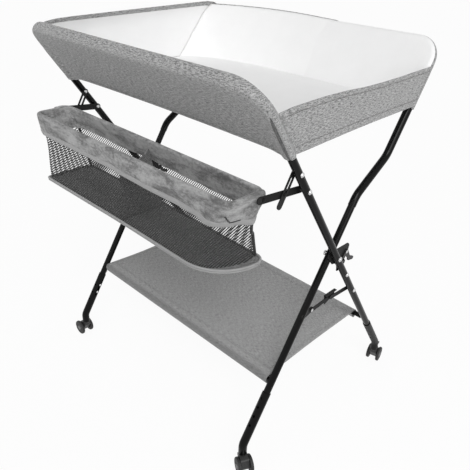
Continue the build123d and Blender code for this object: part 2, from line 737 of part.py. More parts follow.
for side, sign in sides:
    with BuildPart() as basketArm:
        with BuildSketch(beside(sign, armNear)):
            for place in (armPivot, armEnd):
                with Locations(flat(sign, place)):
                    Circle(armWide / 2)
            make_hull()
            with Locations(flat(sign, armPivot)):
                Circle(rivetRadius + fit, mode=Mode.SUBTRACT)
        extrude(amount=armThick)
        pin(sign, armPin, armFar, linkFar + clear, linkPinRadius)
        head(sign, armPin, linkFar + clear, rivetHead, rivetThick)
        head(sign, lugPlace, armFar, rivetHead, rivetThick)
    save(basketArm, f"basket_arm_{side}")


def chord(angle):
    # Distance from the link bolt to the arm pin when the two radii stand at an angle
    return 2 * armRadius * sin(radians(angle) / 2)


linkAngle = armPinAngle - 90 - outerSlope
slotRun = (chord(linkAngle - basketFold) - slotPlay, chord(linkAngle) + slotPlay)
for side, sign in sides:
    with BuildPart() as slottedLink:
        with BuildSketch(beside(sign, linkNear)):
            for place in (linkPivot, toward(linkPivot, armPin, slotRun[1] + linkTail)):
                with Locations(flat(sign, place)):
                    Circle(linkWide / 2)
            make_hull()
            with Locations(flat(sign, linkPivot)):
                Circle(rivetRadius + fit, mode=Mode.SUBTRACT)
        extrude(amount=linkThick)
        with BuildSketch(beside(sign, linkNear)):
            for distance in slotRun:
                with Locations(flat(sign, toward(linkPivot, armPin, distance))):
                    Circle(linkPinRadius + fit)
            make_hull()
        extrude(amount=linkThick, mode=Mode.SUBTRACT)
    save(slottedLink, f"slotted_link_{side}")


def basketRing(height, half, front, back, corner, inset):
    # A rounded outline of the basket at a height, drawn in by an inset
    with BuildSketch(Plane((0, (front + back) / 2, height))) as ring:
        RectangleRounded(2 * (half - inset), back - front - 2 * inset, corner - inset)
    return ring.sketch


wallTop = rimHeight - rimWire - clear
wallLow = basketBottom + baseThick
outerProud = rimWire + clear + hemThick
with BuildPart() as basketShell:
    loft(sections=[basketRing(wallLow, bottomHalf, bottomFront, bottomBack, bottomCorner, 0),
                   basketRing(wallTop, rimHalf, rimFront, rimBack, rimCorner, -wallThick / 2)])
    loft(sections=[basketRing(wallLow, bottomHalf, bottomFront, bottomBack, bottomCorner, wallThick),
                   basketRing(wallTop, rimHalf, rimFront, rimBack, rimCorner, wallThick / 2)], mode=Mode.SUBTRACT)
    with BuildSketch(Plane(origin=rimCorners[0], z_dir=(1, 0, 0))):
        Circle(outerProud)
    sweep(path=rimPath.line)
    with BuildSketch(Plane(origin=rimCorners[0], z_dir=(1, 0, 0))):
        Circle(rimWire + clear)
    sweep(path=rimPath.line, mode=Mode.SUBTRACT)
    for side, sign in sides:
        pin(sign, lugPlace, rimHalf - 2 * outerProud, armNear, lugRadius + clear, Mode.SUBTRACT)
save(basketShell, "basket_shell")

with BuildPart() as basketBase:
    with BuildSketch(Plane((0, (bottomFront + bottomBack) / 2, basketBottom))):
        RectangleRounded(2 * bottomHalf, bottomBack - bottomFront, bottomCorner)
    extrude(amount=baseThick)
save(basketBase, "basket_base")

with BuildPart() as basketDivider:
    loft(sections=[basketRing(wallLow, bottomHalf, bottomFront, bottomBack, bottomCorner, wallThick + clear),
                   basketRing(wallTop, rimHalf, rimFront, rimBack, rimCorner, wallThick / 2 + clear)])
    with Locations((0, (rimFront + rimBack) / 2, wallLow)):
        Box(dividerThick, 2 * (rimDepth + bottomDepth), rimHeight - dividerDrop - wallLow, align=standing,
            mode=Mode.INTERSECT)
save(basketDivider, "basket_divider")
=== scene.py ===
from math import cos, pi, radians, sin, tau

import bmesh
import bpy
import numpy as np
from mathutils import Matrix, Vector


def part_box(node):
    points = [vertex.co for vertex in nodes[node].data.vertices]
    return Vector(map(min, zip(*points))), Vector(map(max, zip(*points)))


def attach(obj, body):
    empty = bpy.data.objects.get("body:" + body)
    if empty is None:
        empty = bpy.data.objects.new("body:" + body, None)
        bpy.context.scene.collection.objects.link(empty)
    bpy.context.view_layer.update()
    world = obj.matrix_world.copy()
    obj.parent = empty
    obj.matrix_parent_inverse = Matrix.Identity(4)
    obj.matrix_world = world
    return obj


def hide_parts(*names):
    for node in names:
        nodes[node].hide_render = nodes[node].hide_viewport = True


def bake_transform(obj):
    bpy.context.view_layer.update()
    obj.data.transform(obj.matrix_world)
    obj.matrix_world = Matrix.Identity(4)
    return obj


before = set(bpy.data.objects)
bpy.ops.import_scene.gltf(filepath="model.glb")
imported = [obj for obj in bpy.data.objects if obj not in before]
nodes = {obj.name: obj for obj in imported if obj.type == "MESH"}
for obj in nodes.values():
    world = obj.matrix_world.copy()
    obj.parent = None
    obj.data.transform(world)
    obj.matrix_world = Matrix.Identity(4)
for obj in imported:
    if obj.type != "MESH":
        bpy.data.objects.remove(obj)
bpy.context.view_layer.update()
print("frame loaded:", len(nodes), "nodes")


def tone(*levels):
    # A screen colour, 0 to 255, as linear light; one level makes a grey
    red, green, blue = levels * 3 if len(levels) == 1 else levels
    return tuple(((c / 255 + 0.055) / 1.055) ** 2.4 for c in (red, green, blue)) + (1,)


class Wire:
    # One socket's value inside a material; arithmetic on it adds Math nodes
    def __init__(self, shade, socket):
        self.shade, self.socket = shade, socket

    def math(self, operation, *others, turned=False):
        # A Math node on this value and the others, or on the others first where it is turned
        values = (*others, self) if turned else (self, *others)
        return self.shade.add("Math", {"operation": operation}, dict(enumerate(values)))

    def __add__(self, other):
        return self.math("ADD", other)

    def __sub__(self, other):
        return self.math("SUBTRACT", other)

    def __rsub__(self, other):
        return self.math("SUBTRACT", other, turned=True)

    def __mul__(self, other):
        return self.math("MULTIPLY", other)

    def __truediv__(self, other):
        return self.math("DIVIDE", other)

    def __rtruediv__(self, other):
        return self.math("DIVIDE", other, turned=True)

    def __mod__(self, other):
        return self.math("FLOORED_MODULO", other)

    def __rmod__(self, other):
        return self.math("FLOORED_MODULO", other, turned=True)

    __radd__, __rmul__ = __add__, __mul__   # a sum or a product is the same either way round

    def sine(self, pitch):
        # From -1 to 1 and back over every pitch metres
        return (self * (tau / pitch)).math("SINE")

    def between(self, low, high):
        # 0 below low, 1 above high, smooth between them
        return self.shade.add("MapRange", {"interpolation_type": "SMOOTHSTEP"},
                              {"Value": self, "From Min": low, "From Max": high})


class Shade:
    # A material being built, or the world's own surface. Its patterns lie on the piece in metres, or on the
    # cut cloth in metres along and across it
    def __init__(self, name, world=None, cloth=False):
        self.material = world or bpy.data.materials.new(name)
        self.material.use_nodes = True
        self.tree = self.material.node_tree
        self.tree.nodes.clear()
        self.where = self.add("UVMap", {"uv_map": "cloth"}) if cloth else self.add("TexCoord", out="Object")

    def add(self, kind, settings=None, values=None, out=0):
        # Any node: its settings are set first, then its sockets get values or links
        node = self.tree.nodes.new("ShaderNode" + kind)
        for key, value in (settings or {}).items():
            setattr(node, key, value)
        for key, value in (values or {}).items():
            if isinstance(value, Wire):
                self.tree.links.new(value.socket, node.inputs[key])
            else:
                node.inputs[key].default_value = value
        return Wire(self, node.outputs[out]) if node.outputs else None

    def noise(self, scale, detail, rough=0.5, warp=0):
        # scale is waves to the metre, one number or one for each direction
        where = self.where
        if isinstance(scale, tuple):
            where, scale = self.add("Mapping", None, {"Vector": where, "Scale": scale}), 1
        return self.add("TexNoise", None, {"Vector": where, "Scale": scale, "Detail": detail,
                                           "Roughness": rough, "Distortion": warp})

    def blend(self, share, low, high):
        # A colour between two colours
        return self.add("Mix", {"data_type": "RGBA"}, {0: share, 6: low, 7: high}, out=2)

    def parts(self):
        # The three numbers of the place that the pattern reads
        split = self.add("SeparateXYZ", None, {"Vector": self.where})
        return [Wire(self, socket) for socket in split.socket.node.outputs]

    def bump(self, height, depth, strength):
        # A normal tilted as if the surface rose by depth metres where height is 1
        return self.add("Bump", None, {"Height": height, "Distance": depth, "Strength": strength})

    def done(self, **values):
        # The surface; names are the shader's own sockets with underscores for spaces
        sockets = {key.replace("_", " "): value for key, value in values.items()}
        self.add("OutputMaterial", None, {"Surface": self.add("BsdfPrincipled", None, sockets)})
        return self.material


def coatedTube(name, low, high, rough):
    # Powder coat: faint orange peel, dull scuffs where the tube has rubbed
    shade = Shade(name)
    scuff = shade.noise((60, 60, 18), 5, 0.7).between(0.58, 0.74)
    peel = shade.noise(900, 2)
    dust = shade.noise(9, 4, 0.6)
    return shade.done(Base_Color=shade.blend(dust * 0.5 + scuff * 0.4, tone(low), tone(high)),
                      Roughness=rough + scuff * 0.1 + dust * 0.04,
                      Normal=shade.bump(peel, 0.00002, 0.4), Specular_IOR_Level=0.13)


def platedSteel(name, level, rough, grain):
    # Bright zinc: soft cloudy spangle, fine turning lines and darker specks
    shade = Shade(name)
    cloud = shade.noise(240, 3, 0.6)
    fine = shade.noise((grain, 3000, 3000), 2)
    speck = shade.noise(1500, 2).between(0.66, 0.8)
    base = shade.blend(speck * 0.5 + cloud * 0.3, tone(level), tone(level * 0.62))
    return shade.done(Base_Color=base, Metallic=1.0, Roughness=rough + cloud * 0.14,
                      Normal=shade.bump(fine, 0.00006, 0.5))


def stampedSteel(name):
    # Black painted plate: soft sheen, edges rubbed a little lighter
    shade = Shade(name)
    edge = shade.add("NewGeometry", out="Pointiness").between(0.52, 0.62)
    mottle = shade.noise(120, 4, 0.6)
    return shade.done(Base_Color=shade.blend(edge * 0.5 + mottle * 0.25, tone(12), tone(46)),
                      Roughness=0.38 + mottle * 0.16, Normal=shade.bump(mottle, 0.0001, 0.6),
                      Specular_IOR_Level=0.1)


def mouldedPlastic(name, low, high, rough, grain=1400):
    # Moulded plastic: spark-eroded grain with slightly polished patches
    shade = Shade(name)
    pebble = shade.noise(grain, 2, 0.6)
    patch = shade.noise(70, 3, 0.6)
    return shade.done(Base_Color=shade.blend(patch, tone(low), tone(high)),
                      Roughness=rough + patch * 0.14 - pebble * 0.05, Normal=shade.bump(pebble, 0.00015, 0.6))


def linen(name, dark, light, fleck, shadedSleeve=None):
    # Heather linen: crossing threads with thick and thin places, pale and dark flecks along them
    shade = Shade(name, cloth=True)
    along, across, _ = shade.parts()
    weave = along.sine(0.00095).math("MAXIMUM", across.sine(0.00095)) * 0.5 + 0.5
    slubAcross = shade.noise((95, 640, 1), 4, 0.7)
    slubAlong = shade.noise((600, 140, 1), 4, 0.7)
    grain = shade.noise(420, 4, 0.75)
    cloud = shade.noise(9, 3, 0.6)
    mixed = slubAcross * 0.52 + slubAlong * 0.18 + grain * 0.3
    streak = mixed.between(0.5 - 0.14 * fleck, 0.5 + 0.14 * fleck)
    base = shade.blend(streak * 0.86 + cloud * 0.14, tone(dark), tone(light))
    if shadedSleeve:
        # Painted shade: the cloth is darkened up to this far along it, on the loop round the front bar, for
        # the shade on its down-turned face
        base = shade.blend((1 - across.between(shadedSleeve - 0.014, shadedSleeve)) * 0.6, base, tone(dark * 0.85))
    return shade.done(Base_Color=base, Roughness=0.86 + grain * 0.1,
                      Normal=shade.bump(weave * 0.5 + mixed, 0.00045, 0.8),
                      Sheen_Weight=0.25, Sheen_Roughness=0.5)


def lining(name):
    # White coated cotton: nearly smooth, a fine plain weave and faint creases
    shade = Shade(name, cloth=True)
    along, across, _ = shade.parts()
    weave = along.sine(0.0011) * across.sine(0.0011)
    crease = shade.noise((9, 22, 1), 3, 0.55, 0.3)
    soil = shade.noise(14, 4, 0.6)
    return shade.done(Base_Color=shade.blend(soil, tone(243), tone(250)), Roughness=0.5 + soil * 0.12,
                      Normal=shade.bump(weave * 0.03 + crease, 0.0022, 0.5), Sheen_Weight=0.1)


def plush(name, dark, light):
    # Brushed pile: pale and dark patches where the nap lies one way or the other
    shade = Shade(name, cloth=True)
    patch = shade.noise((13, 34, 1), 4, 0.6, 0.5)
    nap = shade.noise((110, 160, 1), 4, 0.65)
    fibre = shade.noise(700, 3, 0.7)
    mixed = patch * 0.46 + nap * 0.28 + fibre * 0.26
    base = shade.blend(mixed.between(0.39, 0.61), tone(dark), tone(light))
    return shade.done(Base_Color=base, Roughness=0.9 + fibre * 0.08,
                      Normal=shade.bump(nap + fibre * 0.3, 0.0006, 0.7),
                      Sheen_Weight=0.5, Sheen_Roughness=0.35)


def netting(name, level, pitch, thread, cross):
    # Knitted net: heavy threads one way on the slant, thin ones the other way, open between them
    shade = Shade(name, cloth=True)
    along, across, _ = shade.parts()
    slant, counter = along - across * 0.8, along + across * 1.1
    heavy = 1 - (slant / pitch % 1 - 0.5).math("ABSOLUTE").between(thread, thread + 0.08)
    light = 1 - (counter / pitch % 1 - 0.5).math("ABSOLUTE").between(cross, cross + 0.06)
    cover = heavy.math("MAXIMUM", light)
    fuzz = shade.noise(1800, 2)
    return shade.done(Base_Color=shade.blend(fuzz, tone(level), tone(level + 26)), Alpha=cover,
                      Roughness=0.75 + fuzz * 0.15, Normal=shade.bump(cover + fuzz * 0.2, 0.0003, 0.6))


def tape(name, dark, light, pitch=0.0016):
    # Woven binding tape: ribs across it, a paler worn crown
    shade = Shade(name, cloth=True)
    rib = shade.parts()[0].sine(pitch) * 0.5 + 0.5
    worn = shade.noise((60, 300, 1), 3, 0.6)
    return shade.done(Base_Color=shade.blend(rib * 0.3 + worn * 0.7, tone(dark), tone(light)),
                      Roughness=0.72 + worn * 0.16, Normal=shade.bump(rib + worn * 0.5, 0.0003, 0.7),
                      Sheen_Weight=0.2)


finishes = {
    "blackTube": coatedTube("black powder coat", 4, 16, 0.18),
    "greyTube": coatedTube("grey satin coat", 22, 44, 0.36),
    "zinc": platedSteel("zinc plate", 214, 0.26, 300),
    "blackSteel": stampedSteel("black stamped steel"),
    "blackPlastic": mouldedPlastic("black moulded plastic", 16, 34, 0.42),
    "tyre": mouldedPlastic("black tyre", 14, 30, 0.6, 900),
    "greyPlastic": mouldedPlastic("grey moulded plastic", 96, 128, 0.45),
    "linen": linen("grey heather linen", 90, 200, 0.42),
    # A darker copy of the linen that paints the shade in the creases beside the tubes
    "fold": linen("linen in a fold", 56, 116, 0.5),
    # The shelf linen has painted shade on its loop round the front bar
    "shelfLinen": linen("grey shelf linen", 106, 196, 0.8, shadedSleeve=0.074),
    "lining": lining("white lining"),
    "plush": plush("grey brushed pile", 96, 176),
    "net": netting("black net", 30, 0.0056, 0.18, 0.03),
    "board": linen("black base cloth", 72, 140, 0.5),
    "tape": tape("pale binding tape", 126, 184),
    "blackTape": tape("black binding tape", 16, 40),
    "thread": tape("sewing thread", 70, 104, 0.0006),
}
print("finishes made:", len(finishes))

# The finish of each material that the frame's solids carry
carried = {"black_tube": "blackTube", "grey_tube": "greyTube", "zinc": "zinc", "black_steel": "blackSteel",
           "black_plastic": "blackPlastic", "tyre_plastic": "tyre", "grey_cloth": "linen",
           "white_pad": "lining", "mesh_cloth": "net", "base_cloth": "board"}
for node in nodes.values():
    for index, material in enumerate(node.data.materials):
        node.data.materials[index] = finishes[carried[material.name.split(".")[0]]]


def ease(share):
    # 0 to 1, smooth at both ends
    share = np.clip(share, 0, 1)
    return share * share * (3 - 2 * share)


def ripple(first, second, seed, waves=9):
    # A sum of sine waves in seeded directions, from about -1 to 1, of two lengths in wave units
    draw = np.random.default_rng(seed)
    total = np.zeros(np.broadcast(first, second).shape)
    for _ in range(waves):
        turn, size, shift = draw.uniform(0, tau), draw.uniform(0.5, 1.6), draw.uniform(0, tau)
        total = total + np.sin(size * (np.cos(turn) * first + np.sin(turn) * second) + shift)
    return total / waves**0.5 / 1.4


def joined(*parts, axis=0):
    # Arrays one after another
    return np.concatenate(parts, axis=axis)


def together(*axes):
    # Points from their coordinates, each an array or a number
    return np.stack(np.broadcast_arrays(*axes), axis=-1)


def unit(vectors):
    # Vectors of length 1 along the last direction of an array
    return vectors / np.maximum(np.linalg.norm(vectors, axis=-1, keepdims=True), 1e-12)


def normalsOf(points):
    # Unit normals of a grid: the cross product of its two directions
    return unit(np.cross(np.gradient(points, axis=0), np.gradient(points, axis=1)))


def stepsOf(path):
    # The distance from each point of a path to the next
    return np.linalg.norm(np.diff(path, axis=0), axis=-1)


def cellsOf(grid):
    # The four corners of every cell of a grid, in order round the cell
    return np.stack([grid[:-1, :-1], grid[1:, :-1], grid[1:, 1:], grid[:-1, 1:]], axis=2)


def placed(name, data):
    # A new object in the scene
    thing = bpy.data.objects.new(name, data)
    bpy.context.scene.collection.objects.link(thing)
    return thing


def makeMesh(name, points, faces, cloth, finish, body):
    # points are vertices, faces their four corners, cloth the metres along and across at each corner
    mesh = bpy.data.meshes.new(name)
    mesh.vertices.add(len(points))
    mesh.vertices.foreach_set("co", np.ascontiguousarray(points, np.float32).ravel())
    mesh.loops.add(faces.size)
    mesh.loops.foreach_set("vertex_index", faces.astype(np.int32).ravel())
    mesh.polygons.add(len(faces))
    mesh.polygons.foreach_set("loop_start", np.arange(0, faces.size, 4, dtype=np.int32))
    layer = mesh.uv_layers.new(name="cloth")
    layer.data.foreach_set("uv", np.ascontiguousarray(cloth, np.float32).ravel())
    mesh.update(calc_edges=True)
    work = bmesh.new()
    work.from_mesh(mesh)
    bmesh.ops.remove_doubles(work, verts=work.verts, dist=2e-6)
    bmesh.ops.dissolve_degenerate(work, edges=work.edges, dist=1e-6)
    work.to_mesh(mesh)
    work.free()
    mesh.polygons.foreach_set("use_smooth", np.full(len(mesh.polygons), True))
    mesh.materials.append(finishes[finish])
    mesh.validate()
    piece = placed(name, mesh)
    if body:
        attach(piece, body)
    return piece


def surface(name, points, finish, body=None, cloth=None, closed=False):
    # A single-walled grid; closed joins its last row to its first, cloth defaults to distances along it
    rows, columns = points.shape[:2]
    if cloth is None:
        cloth = clothOf(points, closed)
    index = np.arange(rows * columns).reshape(rows, columns)
    loop = joined(index, index[:1]) if closed else index
    corners = cellsOf(cloth.reshape(-1, columns, 2)).reshape(-1, 2)
    return makeMesh(name, points.reshape(-1, 3), cellsOf(loop).reshape(-1, 4), corners, finish, body)


def clothOf(points, closed):
    # Mean distance travelled along each of a grid's two directions
    if closed:
        points = joined(points, points[:1])
    walks = [joined([0], np.cumsum(stepsOf(way).mean(axis=1)))
             for way in (points, points.transpose(1, 0, 2))]
    return np.stack(np.meshgrid(*walks, indexing="ij"), axis=-1)


def shell(name, points, thick, finish, body=None, closed=False):
    # A sheet with a thickness: the grid, the same grid moved along its normals, and walls round its edges
    rows, columns = points.shape[:2]
    ring = joined(points[-1:], points, points[:1]) if closed else points
    normal = normalsOf(ring)[1:-1] if closed else normalsOf(ring)
    both = np.concatenate([(points + side * normal * thick / 2).reshape(-1, 3) for side in (1, -1)])
    top = np.arange(rows * columns).reshape(rows, columns)
    top = joined(top, top[:1]) if closed else top
    low, cloth = top + rows * columns, clothOf(points, closed)
    patches = [(top, cloth, 1), (low, cloth, -1)]
    edges = ((np.s_[:, 0], 1, 1), (np.s_[:, -1], 1, -1), (0, 0, 1), (-1, 0, -1))
    for edge, axis, way in edges[:2] if closed else edges:
        strip = cloth[edge]
        patches.append((np.stack([low[edge], top[edge]], axis=axis),
                        np.stack([strip, strip + 0.001], axis=axis), way))
    faces = np.concatenate([cellsOf(index).reshape(-1, 4)[:, ::way] for index, _, way in patches])
    corners = np.concatenate([cellsOf(sheet).reshape(-1, 4, 2)[:, ::way] for _, sheet, way in patches])
    return makeMesh(name, both, faces, corners.reshape(-1, 2), finish, body)


def frameAlong(path, up, closed):
    # Two directions square to a path at each of its points, from the one that up comes nearest to
    before, after = (path[-1:], path[:1]) if closed else (path[:1], path[-1:])
    ends = joined(before, path, after)
    ahead = unit(ends[2:] - ends[:-2])
    side = unit(np.cross(ahead, np.broadcast_to(np.asarray(up, float), path.shape)))
    return side, np.cross(side, ahead)


def rope(name, path, radius, finish, body=None, up=(0, 0, 1), closed=False, sides=10, flat=1.0):
    # A round or flattened strip along a path: radius along the side, radius times flat along up. Its ends
    # close to a point
    side, over = frameAlong(path, up, closed)
    turn = np.linspace(0, tau, sides, endpoint=False)
    ring = side[:, None] * np.cos(turn)[None, :, None] + over[:, None] * (np.sin(turn) * flat)[None, :, None]
    width = np.full(len(path), 1.0) * radius
    if not closed:
        width[[0, -1]] = 0
    points = path[:, None] + ring * width[:, None, None]
    points = joined(points, points[:, :1], axis=1)
    return surface(name, points, finish, body, closed=closed)


def resample(path, step):
    # Points an even step apart along a path
    walked = joined([0], np.cumsum(stepsOf(path)))
    marks = np.linspace(0, walked[-1], max(2, int(round(walked[-1] / step)) + 1))
    return np.stack([np.interp(marks, walked, path[:, k]) for k in range(3)], axis=1)


thread = {"pitch": 0.0045, "length": 0.003, "radius": 0.00038}


def stitches(name, path, out, body=None):
    # A row of stitches on a seam: short threads that start and end in the cloth; out is the cloth's normal
    marks = resample(path, thread["pitch"])
    middle, ahead = (marks[1:] + marks[:-1]) / 2, unit(marks[1:] - marks[:-1])
    out = np.broadcast_to(np.asarray(out, float), middle.shape)
    axes = np.stack([ahead, unit(np.cross(ahead, out)), out], axis=1)
    # Each stitch from its start to its end: how far along, how high above the cloth, how thick
    along = np.array([-0.5, -0.42, 0, 0.42, 0.5])[:, None] * thread["length"]
    lift = np.array([-0.6, 0.25, 0.8, 0.25, -0.6])[:, None] * thread["radius"]
    thick = np.array([0.05, 0.8, 1, 0.8, 0.05])[:, None] * thread["radius"]
    turn = np.linspace(0, tau, 6, endpoint=False)
    form = together(along, thick * np.cos(turn), lift + thick * np.sin(turn))
    points = middle[:, None, None] + form @ axes[:, None]
    index = np.arange(len(middle) * 30).reshape(-1, 5, 6)
    looped = joined(index, index[:, :, :1], axis=2)
    faces = cellsOf(looped.transpose(1, 2, 0)).transpose(3, 0, 1, 2)
    caps = joined(index[:, 0][:, [[0, 1, 2, 3], [0, 3, 4, 5]]].reshape(-1, 4),
                  index[:, 4][:, [[3, 2, 1, 0], [5, 4, 3, 0]]].reshape(-1, 4))
    faces = joined(faces.reshape(-1, 4), caps)
    cloth = together(points[..., 0] + points[..., 1], points[..., 2]).reshape(-1, 2)[faces]
    return makeMesh(name, points.reshape(-1, 3), faces, cloth.reshape(-1, 2), "thread", body)


def lowHigh(node):
    # The lowest and the highest corner of a CAD node's box
    low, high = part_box(node)
    return np.array(low), np.array(high)


frontTubeLow, frontTubeHigh = lowHigh("outer_top_tube")
backTubeHigh = lowHigh("inner_top_tube")[1]
panels = {
    "front": {"body": "outer_frame", "node": "front_panel", "side": -1, "slope": radians(34.3), "half": 0.380,
              "rail": (frontTubeLow[1] + 0.009, frontTubeHigh[2] - 0.009), "roll": 0.0112, "corner": 0.066,
              "deep": 0.1600, "deepSide": 0.1680, "seam": radians(132), "crease": 1.0, "tip": 0.006,
              "fat": 0.0080},
    "back": {"body": "inner_frame", "node": "back_panel", "side": 1, "slope": radians(33.3), "half": 0.358,
             "rail": (backTubeHigh[1] - 0.010, backTubeHigh[2] - 0.010), "roll": 0.0118, "corner": 0.050,
             "deep": 0.1640, "deepSide": 0.1700, "seam": radians(124), "crease": 0.5, "tip": 0.0,
             "fat": 0.0020},
}
panelCloth = {"hem": 0.0024, "sag": 0.0016, "edge": 0.0022, "stitch": 0.009}   # hem is half its thickness
panelGrid = {"leg": 26, "corner": 15, "rail": 110, "outside": 34, "inside": 12, "rings": 56}
tuck = {"turn": 0.50, "deep": 0.0016, "swell": 0.0022, "wide": 0.0050}   # the seam beside each side tube


def panelPlace(panel, x, down, out):
    # A point of a panel from its distance below the rail's axis and its height off the panel's middle plane
    railY, railZ = panel["rail"]
    y = railY + panel["side"] * (-down * sin(panel["slope"]) + out * cos(panel["slope"]))
    z = railZ - down * cos(panel["slope"]) - out * sin(panel["slope"])
    return together(x, y, z)


def lowEdge(panel, x):
    # Distance of the lower edge below the rail's axis: a shallow arc that dips beside each leg
    share = np.abs(x) / panel["half"]
    tip = panel["tip"] * np.exp(-((np.abs(x) - panel["half"] + 0.022) / 0.018) ** 2)
    return panel["deep"] + (panel["deepSide"] - panel["deep"]) * share**2 + tip


def panelBulge(panel, x, down):
    # Half thickness of the stuffed panel: full at the tubes, thin at the hem, creased along each side tube
    roll, hem, beside = panel["roll"], panelCloth["hem"], np.maximum(panel["half"] - np.abs(x), 0)
    body = hem + (roll - hem) * (1 - np.clip(down / panel["deep"], 0, 1)) ** 1.15
    near = np.cos(np.clip(beside / 0.025, 0, 1) * pi / 2) ** 1.5
    wide = np.exp(-((beside / 0.075) ** 2))
    crease = panel["crease"] * ease((down - 0.03) / 0.06)
    return body + (roll - body) * (crease * near + (1 - crease) * wide)


def panelRing(panel, inset):
    # One nested outline: up the left tube, round the corner, along the rail, down the right one
    half, deep = panel["half"] - inset, panel["deep"]
    bend = max(panel["corner"] - inset, 0.012 * (1 - max(inset, 0) / deep))
    legs, turn = np.linspace(0, 1, panelGrid["leg"]), np.linspace(0, pi / 2, panelGrid["corner"])[1:-1]
    rail = np.linspace(-half + bend, half - bend, panelGrid["rail"])
    leg = deep * (1 - legs) + (inset + bend) * legs
    across, fall = bend * (1 - np.cos(turn)), inset + bend * (1 - np.sin(turn))
    x = joined(-half + 0 * legs, -half + across, rail, half - across[::-1], half + 0 * legs)
    down = joined(leg, fall, inset + 0 * rail, fall[::-1], leg[::-1])
    outX = joined(-1 + 0 * legs, -np.cos(turn), 0 * rail, np.cos(turn[::-1]), 1 + 0 * legs)
    outUp = joined(0 * legs, np.sin(turn), 1 + 0 * rail, np.sin(turn[::-1]), 0 * legs)
    # The lower edge is an arc: points slide down to it, those near the rail hardly at all
    slide = (lowEdge(panel, x) - deep) * np.clip(down / deep, 0, 1) ** 2
    return x, down + slide, outX, outUp


def panelFace(panel, turns, sign):
    # Rolls round the tubes by the turns given, then crosses the panel; sign is 1 outside and -1 inside
    rings, cloths = [], []
    for turn in turns:
        x, down, outX, outUp = panelRing(panel, -panel["roll"] * sin(turn))
        # Beside each side tube the cloth dips into a seam and then swells over the tube to the end panel
        dip = -tuck["deep"] * np.exp(-(((turn - tuck["turn"]) / 0.20) ** 2))
        swell = tuck["swell"] * ease((turn - 0.55) / 0.5) * ease((2.2 - turn) / 0.7)
        lift = max(sign, 0) * panel["crease"] * (dip + swell) * outX**2 * ease((down - 0.035) / 0.06)
        x, down = x + outX * sin(turn) * lift, down - outUp * sin(turn) * lift
        fat = max(sign, 0) * panel["fat"] * outUp**2 * max(cos(turn), 0)
        rings.append(panelPlace(panel, x, down, (panel["roll"] + lift) * cos(turn) + fat))
        length = panel["roll"] * (turn if sign > 0 else pi - turn)
        cloths.append(together(x + outX * length, down - outUp * length))
    for share in np.linspace(0, 1, panelGrid["rings"])[1:] ** 1.25:
        x, down, _, outUp = panelRing(panel, share * panel["deep"])
        fat = max(sign, 0) * panel["fat"] * outUp**2 * (1 - ease((share * panel["deep"] - 0.004) / 0.055))
        sag = panelCloth["sag"] * ripple(x / 0.11, down / 0.05, 5 + panel["side"]) * ease(down / 0.05)
        sag = sag * ease((0.5 - share) / 0.5 + 1)
        rings.append(panelPlace(panel, x, down, sign * panelBulge(panel, x, down) + sag + fat))
        cloths.append(together(x, down))
    return np.array(rings), np.array(cloths)


for end, panel in panels.items():
    body, roll, half = panel["body"], panel["roll"], panel["half"]
    outer, outerCloth = panelFace(panel, np.linspace(panel["seam"], 0, panelGrid["outside"]), 1)
    inner, innerCloth = panelFace(panel, np.linspace(panel["seam"], pi, panelGrid["inside"]), -1)
    order = slice(None, None, -panel["side"])
    cover = surface(f"tray_{end}_cover", outer[:, order], "linen", body, outerCloth[:, order])
    inner, innerCloth = inner[::-1, order], innerCloth[::-1, order]
    inside = surface(f"tray_{end}_lining", inner, "lining", body, innerCloth)
    # The lower edge: a rolled strip from the outer cloth round to the lining, and round each leg at its ends
    bend = np.linspace(0, pi / 2, 9)
    x = joined(-half - roll * np.cos(bend[:-1]), np.linspace(-half, half, 150),
               half + roll * np.sin(bend[1:]))
    outward = np.maximum(np.abs(x) - half, 0)
    thick = np.where(outward > 0, np.sqrt(np.maximum(roll**2 - outward**2, 0)),
                     panelBulge(panel, x, lowEdge(panel, x)))
    turn = np.linspace(0, pi, 9)
    edge = lowEdge(panel, x)[:, None] + panelCloth["edge"] * np.sin(turn)
    edge = panelPlace(panel, x[:, None], edge, thick[:, None] * np.cos(turn))
    rolled = surface(f"tray_{end}_edge", edge[::panel["side"]], "linen", body)
    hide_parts(panel["node"])
    # A row of stitches above the lower edge
    line = np.linspace(-half + 0.03, half - 0.03, 200)
    low, middle = lowEdge(panel, line) - panelCloth["stitch"], panelPlace(panel, 0, 0, 0)
    seams = [stitches(f"tray_{end}_hem_stitches", panelPlace(panel, line, low, panelBulge(panel, line, low)),
                      panelPlace(panel, 0, 0, 1) - middle, body=body)]
    # The seam allowance tucked into the dip beside each tube, in darker linen that paints the shade of the
    # crease
    down, dip = np.linspace(0.038, panel["deepSide"] + 0.001, 70), roll - tuck["deep"]
    width = tuck["wide"] * ease((down - 0.034) / 0.05) * (1 - 0.4 * ease((down - 0.14) / 0.03))
    for name, hand in (("left", -1), ("right", 1)) if panel["crease"] == 1 else ():
        turn = tuck["turn"]
        path = panelPlace(panel, hand * (half + dip * sin(turn)), down, dip * cos(turn))
        out = panelPlace(panel, hand * sin(turn), 0, cos(turn)) - middle
        seams.append(rope(f"tray_{end}_{name}_fold", path, width, "fold", body, up=out, flat=0.45))
    width = 2 * (half + roll)
    panel["deepSide"] + 3.2 * roll
    panel["deepSide"] + 0.6 * roll
print("tray panels made")

